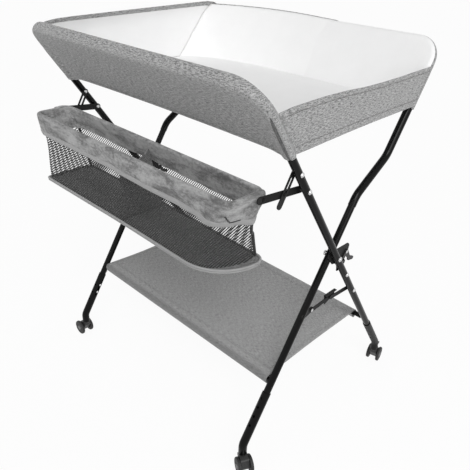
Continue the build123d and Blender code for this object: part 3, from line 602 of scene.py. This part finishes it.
ends = {
    "left": {"hand": -1, "node": "end_panel_left", "top": 0.966,
             "crest": ((0, 0.03, 0.08, 0.16, 0.4, 0.65, 0.84, 0.88, 0.93, 1),
                       (0, 0.009, 0.0135, 0.016, 0.021, 0.026, 0.030, 0.027, 0.012, -0.004))},
    "right": {"hand": 1, "node": "end_panel_right", "top": 0.922,
              "crest": ((0, 0.08, 0.25, 0.4, 0.5, 0.62, 0.75, 1),
                        (0, 0.003, 0.0025, -0.0007, -0.0045, -0.006, -0.005, 0))},
}
endCloth = {"low": 0.8365, "lowHem": 0.014, "hem": 0.0085, "gap": 0.0034, "proud": 0.0009, "rim": 0.008,
            "outermost": 0.373, "beyond": 0.0012, "hollow": 0.003, "wave": 0.0016, "strain": 0.0010,
            "stitch": 0.0006, "rests": ["front_panel", "back_panel"]}


def settle(piece):
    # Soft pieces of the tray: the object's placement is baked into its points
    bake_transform(piece)


def seamLine(panel, hand, turn, heights):
    # Where an end panel meets a long panel: its ring at a turn round the tube, read off at each height
    x, down, *_ = panelRing(panel, -panel["roll"] * sin(turn))
    place = panelPlace(panel, x, down, panel["roll"] * cos(turn))
    middle = len(place) // 2
    run = place[:middle] if hand < 0 else place[::-1][:middle]
    return together(*(np.interp(heights, run[:, 2], run[:, k]) for k in (0, 1)), heights)


def endPlace(end, share, height, out):
    # A point of an end panel: share from front to back, height above its lower edge, out along X
    low, top, hand = endCloth["low"], end["top"], end["hand"]
    level = np.clip(height, 0, top - low) + low
    seams = (panels["front"], panels["front"]["seam"]), (panels["back"], pi / 2)
    front, back = (seamLine(panel, hand, turn, level) for panel, turn in seams)
    back[:, 0] += hand * endCloth["beyond"]
    rise = (level - low) / (top - low)
    place = front[None] * (1 - share[:, None, None]) + back[None] * share[:, None, None]
    bow = np.sin(pi * share)[:, None]
    crest = np.interp(share, *end["crest"])[:, None]
    place[..., 2] += crest * rise**2 + (height - (level - low))
    rim = np.array([top - endCloth["rim"]])
    rim = [seamLine(panel, hand, turn, rim)[0, 0] for panel, turn in seams]
    lean = hand * (endCloth["outermost"] - np.abs(sum(rim)) / 2) * rise**3
    wave = endCloth["wave"] * ripple(share[:, None] * 7 + 0 * rise, rise * 2.2, 31 + hand) * bow
    wave = wave * np.sin(pi * np.clip(rise, 0.1, 0.9))
    place[..., 0] += bow * lean + hand * (out + wave - endCloth["hollow"] * bow)
    return place


for side, end in ends.items():
    tall, hand, gap, proud = end["top"] - endCloth["low"], end["hand"], endCloth["gap"], endCloth["proud"]
    hem, lowHem, inset = endCloth["hem"], endCloth["lowHem"], endCloth["stitch"]
    # Up the cloth: the turned lower edge, its hem, the plain face, the upper hem and its turned edge
    share, bend = np.linspace(0, 1, 96), np.linspace(0, pi, 7)
    mid = np.linspace(lowHem + 0.002, tall - hem - 0.002, 26)
    heights = joined([0.007], -0.0012 * np.sin(bend), [0.006, lowHem - 0.0012, lowHem], mid,
                     [tall - hem, tall - hem + 0.0012, tall - 0.004], tall + 0.0014 * np.sin(bend),
                     [tall - 0.008])
    fold = (proud + gap) / 2 * np.cos(bend)
    outs = joined([-gap], (proud - gap) / 2 - fold, [proud, proud, -0.0005], 0 * mid,
                  [-0.0005, proud, proud], (proud - gap) / 2 + fold, [-gap])
    points = endPlace(end, share, heights, outs)
    # Strain folds run in from the corners of the panel
    strain = np.sin(60 * (points[..., 2] + 0.5 * points[..., 1])) * np.exp(-share[:, None] / 0.07)
    points[..., 0] += hand * endCloth["strain"] * strain
    cover = surface(f"tray_end_{side}_cover", points[::hand], "linen")
    inside = endPlace(end, share, np.linspace(0.003, tall - 0.003, 24), np.full(24, 0.0006 - gap))
    inside = surface(f"tray_end_{side}_lining", inside[::-hand], "lining")
    # Stitches along the two hems and up the two ends
    climb = np.linspace(0.004, tall - 0.004, 50)
    rows = {name: endPlace(end, share[2:-2], np.array([at]), np.array([0.0002]))[:, 0]
            for name, at in (("hem", tall - hem - inset), ("low_hem", lowHem + inset))}
    rows |= {name: endPlace(end, np.array([at]), climb, 0 * climb + 0.0003)[0]
             for name, at in (("front", 0.006), ("front_second", 0.016), ("back", 0.985))}
    seams = [stitches(f"tray_end_{side}_{name}_stitches", row, (hand, 0, 0)) for name, row in rows.items()]
    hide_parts(end["node"])
    for piece, slot in ((cover, "grey_cloth"), (inside, "white_pad"), *((seam, None) for seam in seams)):
        settle(piece)
    long = float(stepsOf(points[:, 20]).sum())
    tall + 0.030
print("end panels made")

# The lining runs across the back left corner from the end panel to the back panel, on a curve that leaves
# the end panel at the shares given for heights given as steps
gusset = {"far": 0.06, "lift": 0.0045, "thick": 0.0010, "flat": (0.435, 0.165), "binding": 0.0015,
          "swing": 0.0030, "steps": (0, 0.030, 0.0628, 0.0807, 0.0958, 0.1124, 0.1261),
          "shares": (0.735, 0.770, 0.803, 0.825, 0.840, 0.855, 0.868)}
back, leftEnd = panels["back"], ends["left"]
across, up = np.linspace(0, 1, 60), np.linspace(0, 1, 40)
leftTall = leftEnd["top"] - endCloth["low"]
heights = 0.001 + (leftTall - 0.0045) * up
along = np.interp(heights, gusset["steps"], gusset["shares"])
face = endPlace(leftEnd, along, heights, np.full(40, 0.0002 - endCloth["gap"]))
start = face[np.arange(40), np.arange(40)] + (0.0012, 0, 0)
topDown = -0.80 * back["roll"]
lowDown = (back["rail"][1] - start[0, 2]) / cos(back["slope"])
stopDown = topDown + (lowDown - topDown) * (1 - up)
roundTube = np.sqrt(np.maximum(back["roll"] ** 2 - np.minimum(stopDown, 0) ** 2, 0))
stopX = gusset["far"] + 0 * up
stopOut = np.where(stopDown < 0, roundTube, panelBulge(back, stopX, np.maximum(stopDown, 0)))
stop = panelPlace(back, stopX, stopDown, -stopOut)
near, far = (1 - across)[:, None], across[:, None]
gussetPoints = start * near[..., None] + stop * far[..., None]
gussetPoints[..., 1] += (near - near**2) * (stop[:, 1] - start[:, 1])
gussetPoints[..., 1] += gusset["swing"] * ease((far - 0.84) / 0.16)
gussetPoints[..., 2] += gusset["lift"] * np.sin(pi * far) * up**2
gussetPiece = shell("tray_corner_lining", gussetPoints, gusset["thick"], "lining")
settle(gussetPiece)
gussetEdge = rope("tray_corner_binding", gussetPoints[:, -1], gusset["binding"], "linen", sides=8)
settle(gussetEdge)

pad = {"node": "tray_floor", "thick": 0.0085, "crown": 0.004, "gap": 0.0015, "rise": 0.0055, "dent": 0.0009,
       "count": 70}
padLow, padHigh = lowHigh("tray_floor")


def padForm():
    # A stuffed board: its top crowned as (1 - u^4)(1 - v^4), its edges rounded by |u|^24 and |v|^24
    line = np.sin(np.linspace(-pi / 2, pi / 2, pad["count"]))
    u, v = np.meshgrid(line, line, indexing="ij")
    fall = np.sqrt(np.maximum((1 - np.abs(u) ** 24) * (1 - np.abs(v) ** 24), 0))
    crown = pad["crown"] * (1 - u**4) * (1 - v**4)
    middle = (padHigh + padLow) / 2 + (0, 0, pad["rise"])
    half = (padHigh - padLow) / 2 - pad["gap"]
    x, y = middle[0] + half[0] * u, middle[1] + half[1] * v
    dent = pad["dent"] * ripple(x / 0.05, y / 0.05, 71)
    top = together(x, y, middle[2] + fall * pad["thick"] / 2 + crown + dent * fall)
    low = together(x, y, middle[2] - fall * pad["thick"] / 2)
    return joined(top, low[::-1][1:], axis=0)


padPiece = surface("tray_floor_pad", padForm()[::-1], "lining")
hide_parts(pad["node"])
settle(padPiece)
print("floor pad made")

shelf = {"node": "shelf_fabric", "half": 0.346, "roll": 0.0085, "hem": 0.024, "sag": 0.007, "waist": 0.006,
         "thick": 0.0012, "droop": 0.0082, "second": 0.0045, "across": 110, "loop": 28, "span": 58}
frontBarLow, frontBarHigh = lowHigh("shelf_front_bar")
backBarLow, backBarHigh = lowHigh("shelf_back_bar")


def shelfPath():
    # Across the shelf: the front hem's loop round its bar, over to the back bar, and the same loop there
    roll, hem = shelf["roll"], shelf["hem"]
    front = (frontBarLow[1:] + frontBarHigh[1:]) / 2
    back = (backBarLow[1:] + backBarHigh[1:]) / 2
    level = roll - shelf["thick"]
    lean = np.arctan2(level, hem) - np.arccos(roll / np.hypot(hem, level))
    turn = np.linspace(lean, -1.5 * pi, shelf["loop"] - 2)
    droop = shelf["droop"] * np.maximum(-np.sin(turn), 0)
    loop = together(roll * np.cos(turn), roll * np.sin(turn) - droop)
    loop = joined([[hem, level]], [[hem * 0.7, level * 0.35]], loop)
    span = np.linspace(0, 1, shelf["span"] + 2)[1:-1]
    middle = together(front[0] + (back[0] - front[0]) * span, front[1] + roll + 0 * span)
    share = joined(0 * loop[:, 0], span, 0 * loop[:, 0] + 1)
    mirrored = loop[::-1] * (-1, 1)
    return joined(loop + front, middle, mirrored + back), share


shelfLine, shelfShare = shelfPath()
x = np.linspace(-1, 1, shelf["across"])[:, None]
middle = np.sin(pi * shelfShare)
width = shelf["half"] - shelf["waist"] * middle
shelfPoints = together(x * width, shelfLine[:, 0], shelfLine[:, 1])
hang = middle * (1 - x**4 * 0.35)
soften = 0.0010 * ripple(shelfPoints[..., 0] / 0.09, shelfPoints[..., 1] / 0.06, 12) * ease(middle * 2)
shelfPoints[..., 2] += soften - shelf["sag"] * hang
shelfCloth = shell("shelf_cloth", shelfPoints, shelf["thick"], "shelfLinen")
shelfSeams, loop, over = [], shelf["loop"], (0, 0, shelf["thick"] * 0.5)
for name, near, hand in (("front", frontBarLow[1] + 0.007, 1), ("back", backBarHigh[1] - 0.007, -1)):
    for order, offset in (("", 0), ("_second", shelf["second"])):
        at = near + hand * (shelf["hem"] - offset)
        column = np.argmin(np.abs(shelfLine[loop:-loop, 0] - at)) + loop
        line = shelfPoints[2:-2, column] + over
        line[:, 1] = at
        shelfSeams.append(stitches(f"shelf_{name}{order}_stitches", line, (0, 0, 1)))
for name, row in (("left", 2), ("right", -3)):
    line = shelfPoints[row, loop + 2:-loop - 2] + over
    shelfSeams.append(stitches(f"shelf_{name}_stitches", line, (0, 0, 1)))
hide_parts(shelf["node"])
for piece in (shelfCloth, *shelfSeams):
    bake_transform(piece)
print("shelf made")

basket = {"body": "basket", "band": 0.036, "inside": 0.046, "wire": 0.0058, "corner": 0.018, "tape": 0.0095,
          "corners": (0.105, 0.022, 0.022, 0.006), "wrinkle": 0.0024, "bow": 0.003, "sink": 0.006,
          "deeper": 0.6, "pinch": 0.021, "bunch": 0.0085, "drape": 0.0018, "half": 0.350, "thick": 0.0012,
          "long": 89, "short": 17, "arc": 14}
lug = {"y": -0.283, "wide": 0.015, "out": 0.0105}   # where the band swells over the rim's two lugs
rimLow, rimHigh = lowHigh("rim_wire")
baseLow, baseHigh = lowHigh("basket_base")
rimZ = rimHigh[2] - 0.003


def roundedLoop(half, front, back, corners):
    # A rounded rectangle from the middle of the front, going right, and its outward directions; corners are
    # the radii front right, back right, back left and front left
    a, b, c, d = corners
    turn, points, outs = np.linspace(0, pi / 2, basket["arc"], endpoint=False), [], []
    # Each side: its start, its end, its count of points, its outward direction, the radius that follows it
    for start, stop, count, way, radius in (
            ((0, front), (half - a, front), "long", (0, -1), a),
            ((half, front + a), (half, back - b), "short", (1, 0), b),
            ((half - b, back), (0, back), "long", (0, 1), 0),
            ((0, back), (-half + c, back), "long", (0, 1), c),
            ((-half, back - c), (-half, front + d), "short", (-1, 0), d),
            ((-half + d, front), (0, front), "long", (0, -1), 0)):
        start, stop, way = np.array(start), np.array(stop), np.array(way)
        share = np.linspace(0, 1, basket[count], endpoint=False)[:, None]
        points.append(start + (stop - start) * share)
        outs.append(way + 0 * share)
        if radius:
            first = np.arctan2(way[1], way[0])
            out = together(np.cos(first + turn), np.sin(first + turn))
            points.append(stop - radius * way + radius * out)
            outs.append(out)
    return np.concatenate(points), np.concatenate(outs)


rimLoop, rimOut = roundedLoop(basket["half"], rimLow[1] + 0.003, rimHigh[1] - 0.003, (basket["corner"],) * 4)
baseLoop, baseOut = roundedLoop(baseHigh[0], baseLow[1], baseHigh[1], basket["corners"])
deep = rimZ - baseLow[2]
rimStep = stepsOf(joined(rimLoop, rimLoop[:1]))
rimWalk = joined([0], np.cumsum(rimStep))[:-1, None]


def pinchAt(depth, x):
    # How far the basket's ends lie inside the straight line from rim to base
    relax = np.where(x > 0, 0.22, 0.55)
    return basket["pinch"] * ease(depth / 0.055) * (1 - relax * ease((depth - 0.06) / (deep - 0.06)))


def sink(x):
    # The soft parts hang a little lower towards the right
    return basket["sink"] * ease((x + 0.05) / 0.36)


def basketPlace(height, out, bow=0.0):
    # A point of the basket's wall, height from the rim (negative is down), out square to the wall
    height, out = np.atleast_2d(height), np.atleast_2d(out)
    share = np.clip(-height / deep, 0, 1)[..., None]
    flat = rimLoop[:, None] * (1 - share) + baseLoop[:, None] * share
    # The ends draw in quickly below the rim and then hang straight
    x = flat[..., 0]
    flat[..., 0] -= np.sign(x) * ease((np.abs(x) - 0.25) / 0.08) * pinchAt(-height, x)
    way = rimOut[:, None] * (1 - share) + baseOut[:, None] * share
    flat = flat + way * (out[..., None] - bow * np.sin(pi * share))
    # The band reaches lower round the right end
    right = ease((rimLoop[:, :1] - 0.29) / 0.06) * (0.3 + 0.7 * ease((rimLoop[:, 1:] + 0.350) / 0.085))
    below = ease((-height - 0.006) / 0.03)
    end = right * below * (1 - ease((-height - 0.05) / 0.06))
    level = rimZ + height * (1 + basket["deeper"] * end) - sink(flat[..., 0]) * below
    return joined(flat, level[..., None], axis=-1)


def crumple(height, seed):
    # Folds of the loose band: none at the wire, growing to its lower edge, mostly upright
    grow = ease((-height - 0.004) / 0.035)
    folds = ripple(rimWalk / 0.017, height / 0.045, seed) * 0.6
    folds = folds + ripple(rimWalk / 0.05, height / 0.03, seed + 1)
    return basket["wrinkle"] * folds * grow


def drape(height):
    # How far the free edges of the loose cloth rise and fall round the basket
    return basket["drape"] * ripple(rimWalk / 0.04, 0 * height, 47)


def bandForm():
    # Inside the wire up, over it, and down outside
    wire, turn = basket["wire"], np.linspace(pi * 1.08, -pi * 0.08, 15)
    inside = np.linspace(-basket["inside"], -0.006, 14)
    outside = np.linspace(-0.006, -basket["band"], 18)
    height = joined(inside, wire * np.sin(turn), outside)
    out = joined(-wire + 0 * inside, wire * np.cos(turn), wire + 0 * outside)
    # The loose cloth inside the left end is bunched into deep folds
    bunch = basket["bunch"] * ease((-rimLoop[:, :1] - 0.20) / 0.10) * ease((-inside - 0.003) / 0.02)
    creases = ripple(rimWalk / 0.0055 - 1.2 * inside / 0.011, inside / 0.016, 45, waves=5)
    within = bunch * np.abs(creases) + crumple(inside, 41)
    wave = joined(-within, 0 * rimWalk * turn, crumple(outside, 43), axis=1)
    over = np.exp(-((height + 0.002) / 0.022) ** 4)[None] * (out > 0)
    swell = np.exp(-(((rimLoop[:, 1] - lug["y"]) / lug["wide"]) ** 2)) * (np.abs(rimLoop[:, 0]) > 0.345)
    place = basketPlace(height, out[None] + wave + lug["out"] * swell[:, None] * over)
    drop = joined(ease((-inside - 0.02) / 0.02), 0 * turn, ease((-outside - 0.02) / 0.02))
    place[..., 2] += drape(height) * drop
    return place


body, bandLow = basket["body"], -basket["band"]
bandPoints = bandForm()
band = surface("basket_band", bandPoints, "plush", body, closed=True)
# The tape along the band's lower edge
hang = np.linspace(bandLow + 0.0015, bandLow - basket["tape"], 7)
edgeWave = crumple(np.array([bandLow]), 43)
tapeOut = basket["wire"] + 0.0008 * np.sin(np.linspace(0, pi, 7)) + edgeWave * (1 - np.linspace(0, 0.6, 7))
tapePoints = basketPlace(hang, tapeOut)
tapePoints[..., 2] += drape(hang)
bandTape = shell("basket_band_tape", tapePoints, basket["thick"], "tape", body, closed=True)

# At the front right corner the band stands off its tape; a black strip laid in that gap paints the shadow of
# the slit, and a seam closes the end there
slitForm = {"radius": 0.0016, "proud": 0.0003, "flat": 0.5}
slitAt = joined(np.linspace(96, 99, 8), np.arange(100, 108)).round().astype(int)
slitRow = joined(np.arange(38, 46), np.full(8, 45))
slitOut = joined(rimOut[slitAt], np.zeros((16, 1)), axis=1)
slitPath = bandPoints[slitAt, slitRow] + slitOut * slitForm["proud"]
slit = rope("basket_band_slit_shadow", slitPath, slitForm["radius"], "blackTape", body, up=slitOut,
            flat=slitForm["flat"])
seamAt, seamRow = np.linspace(115, 122, 13).round().astype(int), np.arange(31, 44)
endSeams = [stitches(f"basket_band_seam_{name}", bandPoints[seamAt + shift, seamRow], (0.92, 0.39, 0),
                     body=body) for name, shift in (("first", 0), ("second", 2))]

net = {"wide": 0.0110, "narrow": 0.0064, "half": 0.36, "rows": 26, "wave": 0.0022, "proud": 0.0035}
netHeights = np.linspace(bandLow - 0.004, -deep + 0.004, net["rows"])
netShare = np.linspace(0, 1, net["rows"])
netWave = net["wave"] * ripple(rimWalk / 0.06, netHeights / 0.05, 51) * np.sin(pi * netShare)
netOut = net["proud"] * (1 - netShare) + netWave + edgeWave * 0.5 * (1 - netShare)
netPoints = basketPlace(netHeights, netOut, basket["bow"])
# The net's own directions: x along the front and back, y along the ends. Its threads stand wide apart at the
# left end and narrow at the right one, evenly between, so that x runs as the logarithm of that distance
wall = joined(netPoints, netPoints[:1])
narrower, fromLeft = net["wide"] - net["narrow"], wall[..., 0] + net["half"]
spread = -0.0072 / narrower * np.log(net["wide"] - narrower * fromLeft / (2 * net["half"]))
netCloth = together(spread * 0.72 + wall[..., 1] * 0.13, wall[..., 2] * 1.05)
netPiece = surface("basket_net", netPoints, "net", body, cloth=netCloth, closed=True)
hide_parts("basket_shell")


def boardForm():
    # The base: middle, top face, rounded edge, lower face and middle again
    centre = np.array([0, (baseLow[1] + baseHigh[1]) / 2])
    edge, face = np.linspace(pi / 2, -pi / 2, 7), np.array([0, 0.35, 0.7, 0.96])
    share = joined(face, 1 + 0 * edge, face[::-1])[None, :, None]
    lift = joined(1 + 0 * face, np.sin(edge), 0 * face - 1) * (baseHigh[2] - baseLow[2]) / 2
    proud = joined(0 * face, 0.002 * np.cos(edge) - 0.001, 0 * face)[None, :, None]
    flat = centre + (baseLoop[:, None] - centre) * share + baseOut[:, None] * proud
    level = (baseHigh[2] + baseLow[2]) / 2 + lift - sink(flat[..., 0])
    return joined(flat, level[..., None], axis=-1)


board = surface("basket_board", boardForm()[:, ::-1], "board", body, closed=True)
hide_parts("basket_base")
for name, level, radius, out in (("basket_piping", baseHigh[2] + 0.0005, 0.0026, 0.0026),
                                 ("basket_lower_piping", baseLow[2] - 0.0006, 0.0019, 0.0024)):
    path = joined(baseLoop + baseOut * out, level - sink(baseLoop[:, :1]), axis=1)
    rope(name, path, radius, "tape", body, closed=True)

# Black bindings up the back corners, at the middle of each corner's arc
binding = {"radius": 0.0034, "out": 0.002, "proud": 0.0015}
long, short, arc = basket["long"], basket["short"], basket["arc"]
backRight = long + arc + short + arc // 2
for name, corner in (("right", backRight), ("left", backRight + arc + 2 * long)):
    rows = np.linspace(bandLow - 0.006, -deep + 0.003, 24)
    path = basketPlace(rows, binding["out"] + 0 * rows, basket["bow"])[corner]
    path[:, :2] += rimOut[corner] * binding["proud"]
    rope(f"basket_corner_binding_{name}", path, binding["radius"], "blackTape", body,
                 up=(*rimOut[corner], 0))

divider = {"top": -0.013, "dip": 0.024, "fold": 0.009, "thick": 0.0016, "hem": 0.0024, "tall": 0.165,
           "gapTop": 0.0085, "gapLow": 0.004}
share, rise = np.linspace(0, 1, 34)[:, None], np.linspace(0, 1, 30)
halfTop = (rimHigh[1] - rimLow[1]) / 2 - divider["gapTop"]
halfLow = (baseHigh[1] - baseLow[1]) / 2 - divider["gapLow"]
middleTop, middleLow = (rimHigh[1] + rimLow[1]) / 2, (baseHigh[1] + baseLow[1]) / 2
middle, half = middleLow + (middleTop - middleLow) * rise, halfLow + (halfTop - halfLow) * rise
arch = np.sin(pi * share)
z = baseHigh[2] + (rimZ + divider["top"] - baseHigh[2]) * rise - divider["dip"] * arch * rise
fold = divider["fold"] * ripple(share * 9, rise * 2.5, 61) * ease(rise * 1.5) * arch
dividerPoints = together(fold, middle + (2 * share - 1) * half, z)
dividerCloth = shell("basket_divider_cloth", dividerPoints, divider["thick"], "board", body)
dividerHem = rope("basket_divider_hem", dividerPoints[:, -1], divider["hem"], "board", body)
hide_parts("basket_divider")
print("basket made")

# Grey caps over the axle ends, a shallow dome with a raised rim, sunk in each wheel's hub
caps = {"turns": {"front_left": 180, "front_right": -27, "back_left": 75, "back_right": 102},
        "radius": 0.0076, "outside": 0.0195, "deep": 0.0014}
spokes = np.linspace(0, tau, 33)[:, None, None]
capRadius = np.array([0, 0.2, 0.42, 0.62, 0.66, 0.74, 0.9, 0.97, 1.0, 1.0])[:, None] * caps["radius"]
capRise = np.array([0.9, 0.85, 0.7, 0.45, 0.2, 0.2, 0.75, 0.7, 0.4, -1.0])[:, None] * caps["deep"]
for name, turn in caps["turns"].items():
    wheelLow, wheelHigh = lowHigh(f"caster_wheels_{name}")
    centre, trail = (wheelLow + wheelHigh) / 2, radians(turn)
    axle, ahead = np.array([sin(trail), -cos(trail), 0]), np.array([cos(trail), sin(trail), 0])
    disc = centre + (np.cos(spokes) * ahead + np.sin(spokes) * (0, 0, 1)) * capRadius
    for way, place in ((-1, "inner"), (1, "outer")):
        points = disc + way * axle * (caps["outside"] + capRise)
        cap = surface(f"axle_cap_{name}_{place}", points[::way], "greyPlastic", f"wheels_{name}")
print("axle caps made")

stage = {"paper": 0.93, "sky": 0.36, "reach": 60.0, "below": -0.0005}


def seenAsPaper(shade):
    # The largest of three shares: rays from the camera, off a shiny surface or through a clear one
    rays = shade.add("LightPath").socket.node.outputs
    seen, shiny, clear = (Wire(shade, rays[f"Is {kind} Ray"])
                          for kind in ("Camera", "Glossy", "Transmission"))
    return seen.math("MAXIMUM", shiny.math("MAXIMUM", clear))


def paleGround():
    # White floor that shows as paper white and still takes a soft shadow
    shade = Shade("pale floor")
    grain = shade.noise(3, 3)
    matte = shade.add("BsdfDiffuse", None, {"Color": shade.blend(grain, tone(244), tone(250))})
    paper = shade.add("Emission", None, {"Color": (1, 1, 1, 1), "Strength": 1.0})
    mixed = shade.add("MixShader", None, {0: seenAsPaper(shade) * stage["paper"], 1: matte, 2: paper})
    shade.add("OutputMaterial", None, {"Surface": mixed})
    return shade.material


finishes["floor"] = paleGround()
reach = np.linspace(-stage["reach"], stage["reach"], 13)
floorX, floorY = np.meshgrid(reach, reach, indexing="ij")
floor = surface("studio_floor", together(floorX, floorY, 0 * floorX + stage["below"]), "floor")

sky = Shade("studio", bpy.data.worlds.new("studio"))
bpy.context.scene.world = sky.material
soft, paper = (sky.add("Background", None, {"Color": (1, 1, 1, 1), "Strength": strength})
               for strength in (stage["sky"], 1.0))
mixed = sky.add("MixShader", None, {0: seenAsPaper(sky), 1: soft, 2: paper})
sky.add("OutputWorld", None, {"Surface": mixed})

studio = {
    "sun": {"kind": "SUN", "place": (1.25, -1.0, 2.1), "spread": 0.5, "power": 1.4},
    "side": {"kind": "AREA", "place": (2.3, -0.5, 1.3), "spread": 1.0, "power": 9},
    "front": {"kind": "AREA", "place": (-0.2, -2.6, 2.2), "spread": 1.2, "power": 9},
}
lookAt = Vector((0, 0, 0.55))
for name, lamp in studio.items():
    light = bpy.data.lights.new(name, lamp["kind"])
    light.energy = lamp["power"]
    if lamp["kind"] == "SUN":
        light.angle = lamp["spread"]
    else:
        light.size = lamp["spread"]
    holder = placed(name, light)
    holder.location = lamp["place"]
    aim = lookAt - Vector(lamp["place"])
    holder.rotation_euler = aim.to_track_quat("-Z", "Y").to_euler()

view = {"place": (0.954, -0.9673, 1.192), "turn": radians(42.1), "dip": radians(29.5), "roll": radians(2.79),
        "lens": 41.02, "sensor": 36, "shift": (-0.0300, -0.0038)}
camera = bpy.data.cameras.new("view")
camera.lens, camera.sensor_width = view["lens"], view["sensor"]
camera.shift_x, camera.shift_y = view["shift"]
camera.clip_start, camera.clip_end = 0.05, 200
eye = placed("view", camera)
turn, dip, roll = view["turn"], view["dip"], view["roll"]
ahead = Vector((-sin(turn) * cos(dip), cos(turn) * cos(dip), -sin(dip)))
right = Vector((cos(turn), sin(turn), 0))
above = right.cross(ahead)
rolledRight = cos(roll) * right + sin(roll) * above
rolledUp = -sin(roll) * right + cos(roll) * above
turned = Matrix((rolledRight, rolledUp, -ahead)).transposed().to_4x4()
eye.matrix_world = Matrix.Translation(view["place"]) @ turned
bpy.context.scene.camera = eye
bpy.context.scene.view_settings.view_transform = "Standard"
print("studio made")
